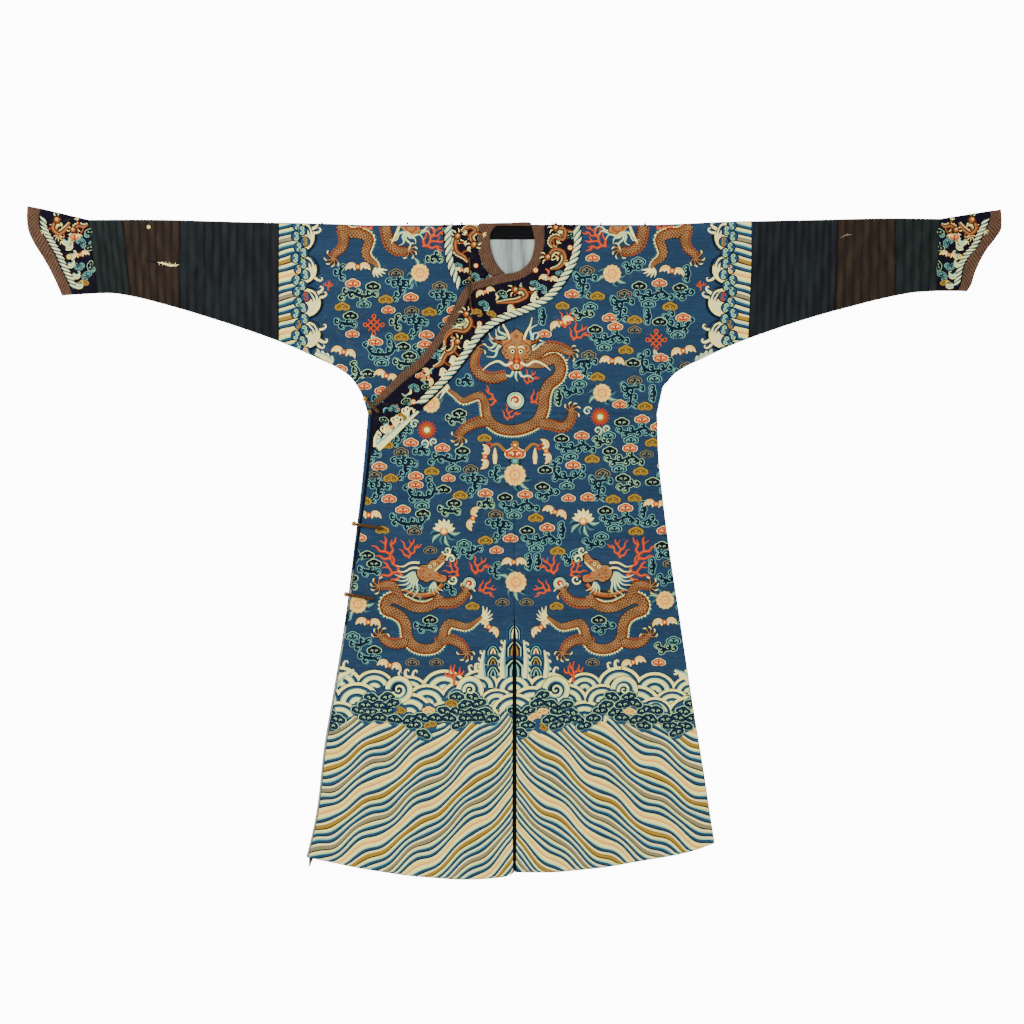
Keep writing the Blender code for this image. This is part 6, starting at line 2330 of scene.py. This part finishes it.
class ROBE_OT_neck(bpy.types.Operator):
    """Lays the black facing and the pale lining that show inside the neck"""

    bl_idname = "robe.neck"
    bl_label = "Inside the neck"

    def execute(self, context):
        for name, box, finish, slot in (
            ("back_neck_facing", BACK_FACING_BOX, "black", "black_silk"),
            ("neck_lining", LINING_BOX, "lining", "pale_lining"),
        ):
            left, right, top, bottom = box
            across, down = np.meshgrid(np.linspace(left, right, 60), np.linspace(top, bottom, 30))
            patch = np.stack((across, down), axis=2)
            sag = over(lambda points: 0.12 * np.sin(points[:, 0] / 5.0), BACK_TOP + 0.15)
            piece = shell(f"{name}_cloth", (patch,), sag, LINING - 0.3, finish_of(finish))
            size = ((right - left) * MM, (bottom - top) * MM)
            laid_cloth(piece, name, slot, size)
        return {"FINISHED"}


class ROBE_OT_sleeves(bpy.types.Operator):
    """Lays the three ribbed lengths of each sleeve as flattened tubes"""

    bl_idname = "robe.sleeves"
    bl_label = "Ribbed sleeves"

    def execute(self, context):
        rib = context.scene.robe_sizes.rib / MM
        for side, sign in SIDES.items():
            for place, (colour, ribs) in enumerate(SLEEVE_BANDS):
                start = np.array(SEAMS[side][place]) + SEAM_GAP / 2.0
                end = np.array(SEAMS[side][place + 1]) - SEAM_GAP / 2.0
                depth = tube_rows(200.0, 38)
                shares = steps(8 * ribs + 1)
                near = mixed(start[0], start[1], depth)
                far = mixed(end[0], end[1], depth)
                reach = mixed(near, far, shares[:, None])
                fold = read(SHOULDER[side], reach)
                down = mixed(fold, read(UNDERSIDE[side], reach), depth[None, :])
                columns = np.stack((sign * reach, down), axis=2)
                rank = np.floor(shares[:, None] * ribs)
                sway = 0.09 * np.sin(9.0 * depth + 1.7 * rank) + 0.05 * np.sin(23.0 * depth + 2.9 * rank)
                crest = np.abs(np.sin(np.pi * (shares[:, None] * ribs + sway * np.sin(np.pi * depth))))
                crest = crest**0.6 * (0.8 + 0.2 * np.sin(11.0 * depth + 2.3 * rank))
                # The crest share also goes to the map, where it paints shade into the grooves and light onto
                # the crests.
                piece = tube_shell(
                    f"{side}_sleeve_{colour}_cloth", columns, rib * crest, 0.0, finish_of(colour), crest
                )
                middle = 2.0 * MM * np.hypot(
                    *(columns[len(columns) // 2, -1] - columns[len(columns) // 2, 0])
                )
                length = MM * float((end - start).mean())
                laid_cloth(
                    piece, f"{side}_sleeve_{colour}", f"{colour}_ribbed_silk", (middle, length)
                )
        return {"FINISHED"}


class ROBE_OT_cuffs(bpy.types.Operator):
    """Lays the two horse-hoof cuffs and their brocade edgings as flattened tubes"""

    bl_idname = "robe.cuffs"
    bl_label = "Cuffs"

    def execute(self, context):
        for side, sign in SIDES.items():
            seam, inner, wrist = cuff_lines(side)
            nudge = np.array((0.05, 0.0))
            for name, start, end, finish, slot, count, proud in (
                (f"{side}_cuff", seam + nudge, inner - nudge, "collar", "collar_tapestry", 26, 0.0),
                (f"{side}_cuff_edging", inner + nudge, wrist, "brocade", "brown_brocade", 9, 0.4),
            ):
                columns = mixed(start[None], end[None], steps(count)[:, None, None]) * (sign, 1.0)
                plain = np.zeros(columns.shape[:2])
                along = np.broadcast_to(np.linspace(0.0, 0.2, columns.shape[1]), plain.shape)
                piece = tube_shell(f"{name}_cloth", columns, plain, proud, finish_of(finish), along)
                wide = 2.0 * MM * np.hypot(*np.diff(columns[count // 2], axis=0).T).sum()
                long = MM * float(np.hypot(*(end - start).T).mean())
                laid_cloth(piece, name, slot, (wide, long))
        return {"FINISHED"}


def front_cartoon(chance):
    """All that is woven on the robe's front, from the sea up to the shoulders."""
    cartoon = Cartoon()
    standing_water(cartoon)
    waves(cartoon, chance)
    rock(cartoon)
    chest_dragon(cartoon)
    for cartoon.flip in (-1.0, 1.0):
        lower_dragon(cartoon)
        shoulder_dragon(cartoon)
        sleeve_end(cartoon)
    emblems(cartoon)
    for path in ROPE.values():
        cartoon.keep(path, 5.0)
    cloud_field(cartoon, chance)
    return cartoon


class ROBE_OT_figures(bpy.types.Operator):
    """Weaves the dragons, emblems, clouds and sea into the fronts"""

    bl_idname = "robe.figures"
    bl_label = "Figures"

    def execute(self, context):
        cartoon = front_cartoon(np.random.default_rng(7))
        for name, side, part, height in (
            ("left_front", "left", "outer", over(outer_height, CLOTH)),
            ("outer_flap", "right", "outer", over(outer_height, CLOTH)),
            ("under_flap", "right", "under", over(under_height, CLOTH)),
            ("left_back", "left", "back", flat_at(0.28)),
            ("right_back", "right", "back", flat_at(0.28)),
        ):
            piece = cartoon.woven(f"{name}_figures", region_of(side, part), height, down=part == "back")
        on_facing = CLOTH + LAYER_GAP + FACING
        everywhere = lambda flat: flat
        for name, figures, height in (
            ("outer", collar_cartoon(), outer_height),
            ("inner", inner_collar_cartoon(), under_height),
        ):
            piece = figures.woven(f"collar_facing_{name}_figures", everywhere, over(height, on_facing))
        for side in SIDES:
            on_cuff = lambda points: BACK_TOP + CLOTH + AIR * inward(points)
            piece = cuff_cartoon(side).woven(f"{side}_cuff_figures", everywhere, on_cuff)
            rib = context.scene.robe_sizes.rib / MM
            piece = worn_cartoon(side).woven(f"{side}_sleeve_brown_wear", everywhere, over(on_cuff, rib))
        return {"FINISHED"}


FLOOR_HALF, FLOOR_DOWN = 6.0, -0.0005
LENS, SENSOR, VIEW_SQUARES = 85.0, 36.0, 1024
CAMERA_OVER = (-0.0048, 0.0651)
LAMPS = (("key", (-2.4, 2.3, 3.0), 1.6, 150.0), ("fill", (2.6, -1.8, 3.4), 3.0, 30.0))


class ROBE_OT_stage(bpy.types.Operator):
    """Sets the pale table, the soft lights and the camera above the robe"""

    bl_idname = "robe.stage"
    bl_label = "Stage"

    def execute(self, context):
        corners = FLOOR_HALF * np.array(((-1.0, -1.0), (1.0, -1.0), (1.0, 1.0), (-1.0, 1.0)))
        points = np.column_stack((corners, np.full(4, FLOOR_DOWN)))
        floor = mesh_piece("floor", points, np.array(((0, 1, 2, 3),)))
        floor.data.materials.append(finish_of("floor"))
        scene = context.scene
        world = bpy.data.worlds.new("studio")
        world.use_nodes = True
        sky = world.node_tree.nodes["Background"]
        sky.inputs["Color"].default_value = (1.0, 1.0, 1.0, 1.0)
        sky.inputs["Strength"].default_value = 1.1
        scene.world = world
        for name, spot, size, power in LAMPS:
            lamp = bpy.data.lights.new(name, "AREA")
            lamp.size = size
            lamp.energy = power
            light = bpy.data.objects.new(name, lamp)
            light.location = spot
            toward = -np.array(spot)
            light.rotation_euler = (
                math.acos(-toward[2] / np.linalg.norm(toward)),
                0.0,
                math.atan2(toward[1], toward[0]) - math.pi / 2.0,
            )
            scene.collection.objects.link(light)
        lens = bpy.data.cameras.new("camera")
        lens.lens = LENS
        lens.sensor_width = SENSOR
        camera = bpy.data.objects.new("camera", lens)
        camera.location = (*CAMERA_OVER, VIEW_SQUARES * SQUARE * MM * LENS / SENSOR)
        scene.collection.objects.link(camera)
        scene.camera = camera
        return {"FINISHED"}


class ROBE_PT_panel(bpy.types.Panel):
    """Sizes, dyes and steps of the robe"""

    bl_idname = "ROBE_PT_panel"
    bl_label = "Dragon robe"
    bl_space_type = "VIEW_3D"
    bl_region_type = "UI"
    bl_category = "Robe"

    def draw(self, context):
        for group in (context.scene.robe_sizes, context.scene.robe_dyes):
            for name in group.bl_rna.properties.keys():
                if name not in ("rna_type", "name"):
                    self.layout.prop(group, name)
        for step in STEPS:
            self.layout.operator(step.bl_idname)


GROUPS = (RobeDyes, RobeSizes)
STEPS = (
    ROBE_OT_stage,
    ROBE_OT_figures,
    ROBE_OT_backs,
    ROBE_OT_fronts,
    ROBE_OT_neck,
    ROBE_OT_collar,
    ROBE_OT_sleeves,
    ROBE_OT_cuffs,
    ROBE_OT_closures,
    ROBE_OT_small_things,
)


def register():
    """Registers the property groups, the steps and the panel."""
    for group in (*GROUPS, *STEPS, ROBE_PT_panel):
        bpy.utils.register_class(group)
    bpy.types.Scene.robe_dyes = bpy.props.PointerProperty(type=RobeDyes)
    bpy.types.Scene.robe_sizes = bpy.props.PointerProperty(type=RobeSizes)


def unregister():
    """Takes them away again."""
    del bpy.types.Scene.robe_sizes
    del bpy.types.Scene.robe_dyes
    for group in (ROBE_PT_panel, *reversed(STEPS), *reversed(GROUPS)):
        bpy.utils.unregister_class(group)


def main():
    """Makes the robe step by step."""
    register()
    for step in STEPS:
        group, name = step.bl_idname.split(".")
        getattr(getattr(bpy.ops, group), name)()


if __name__ == "__main__":
    main()
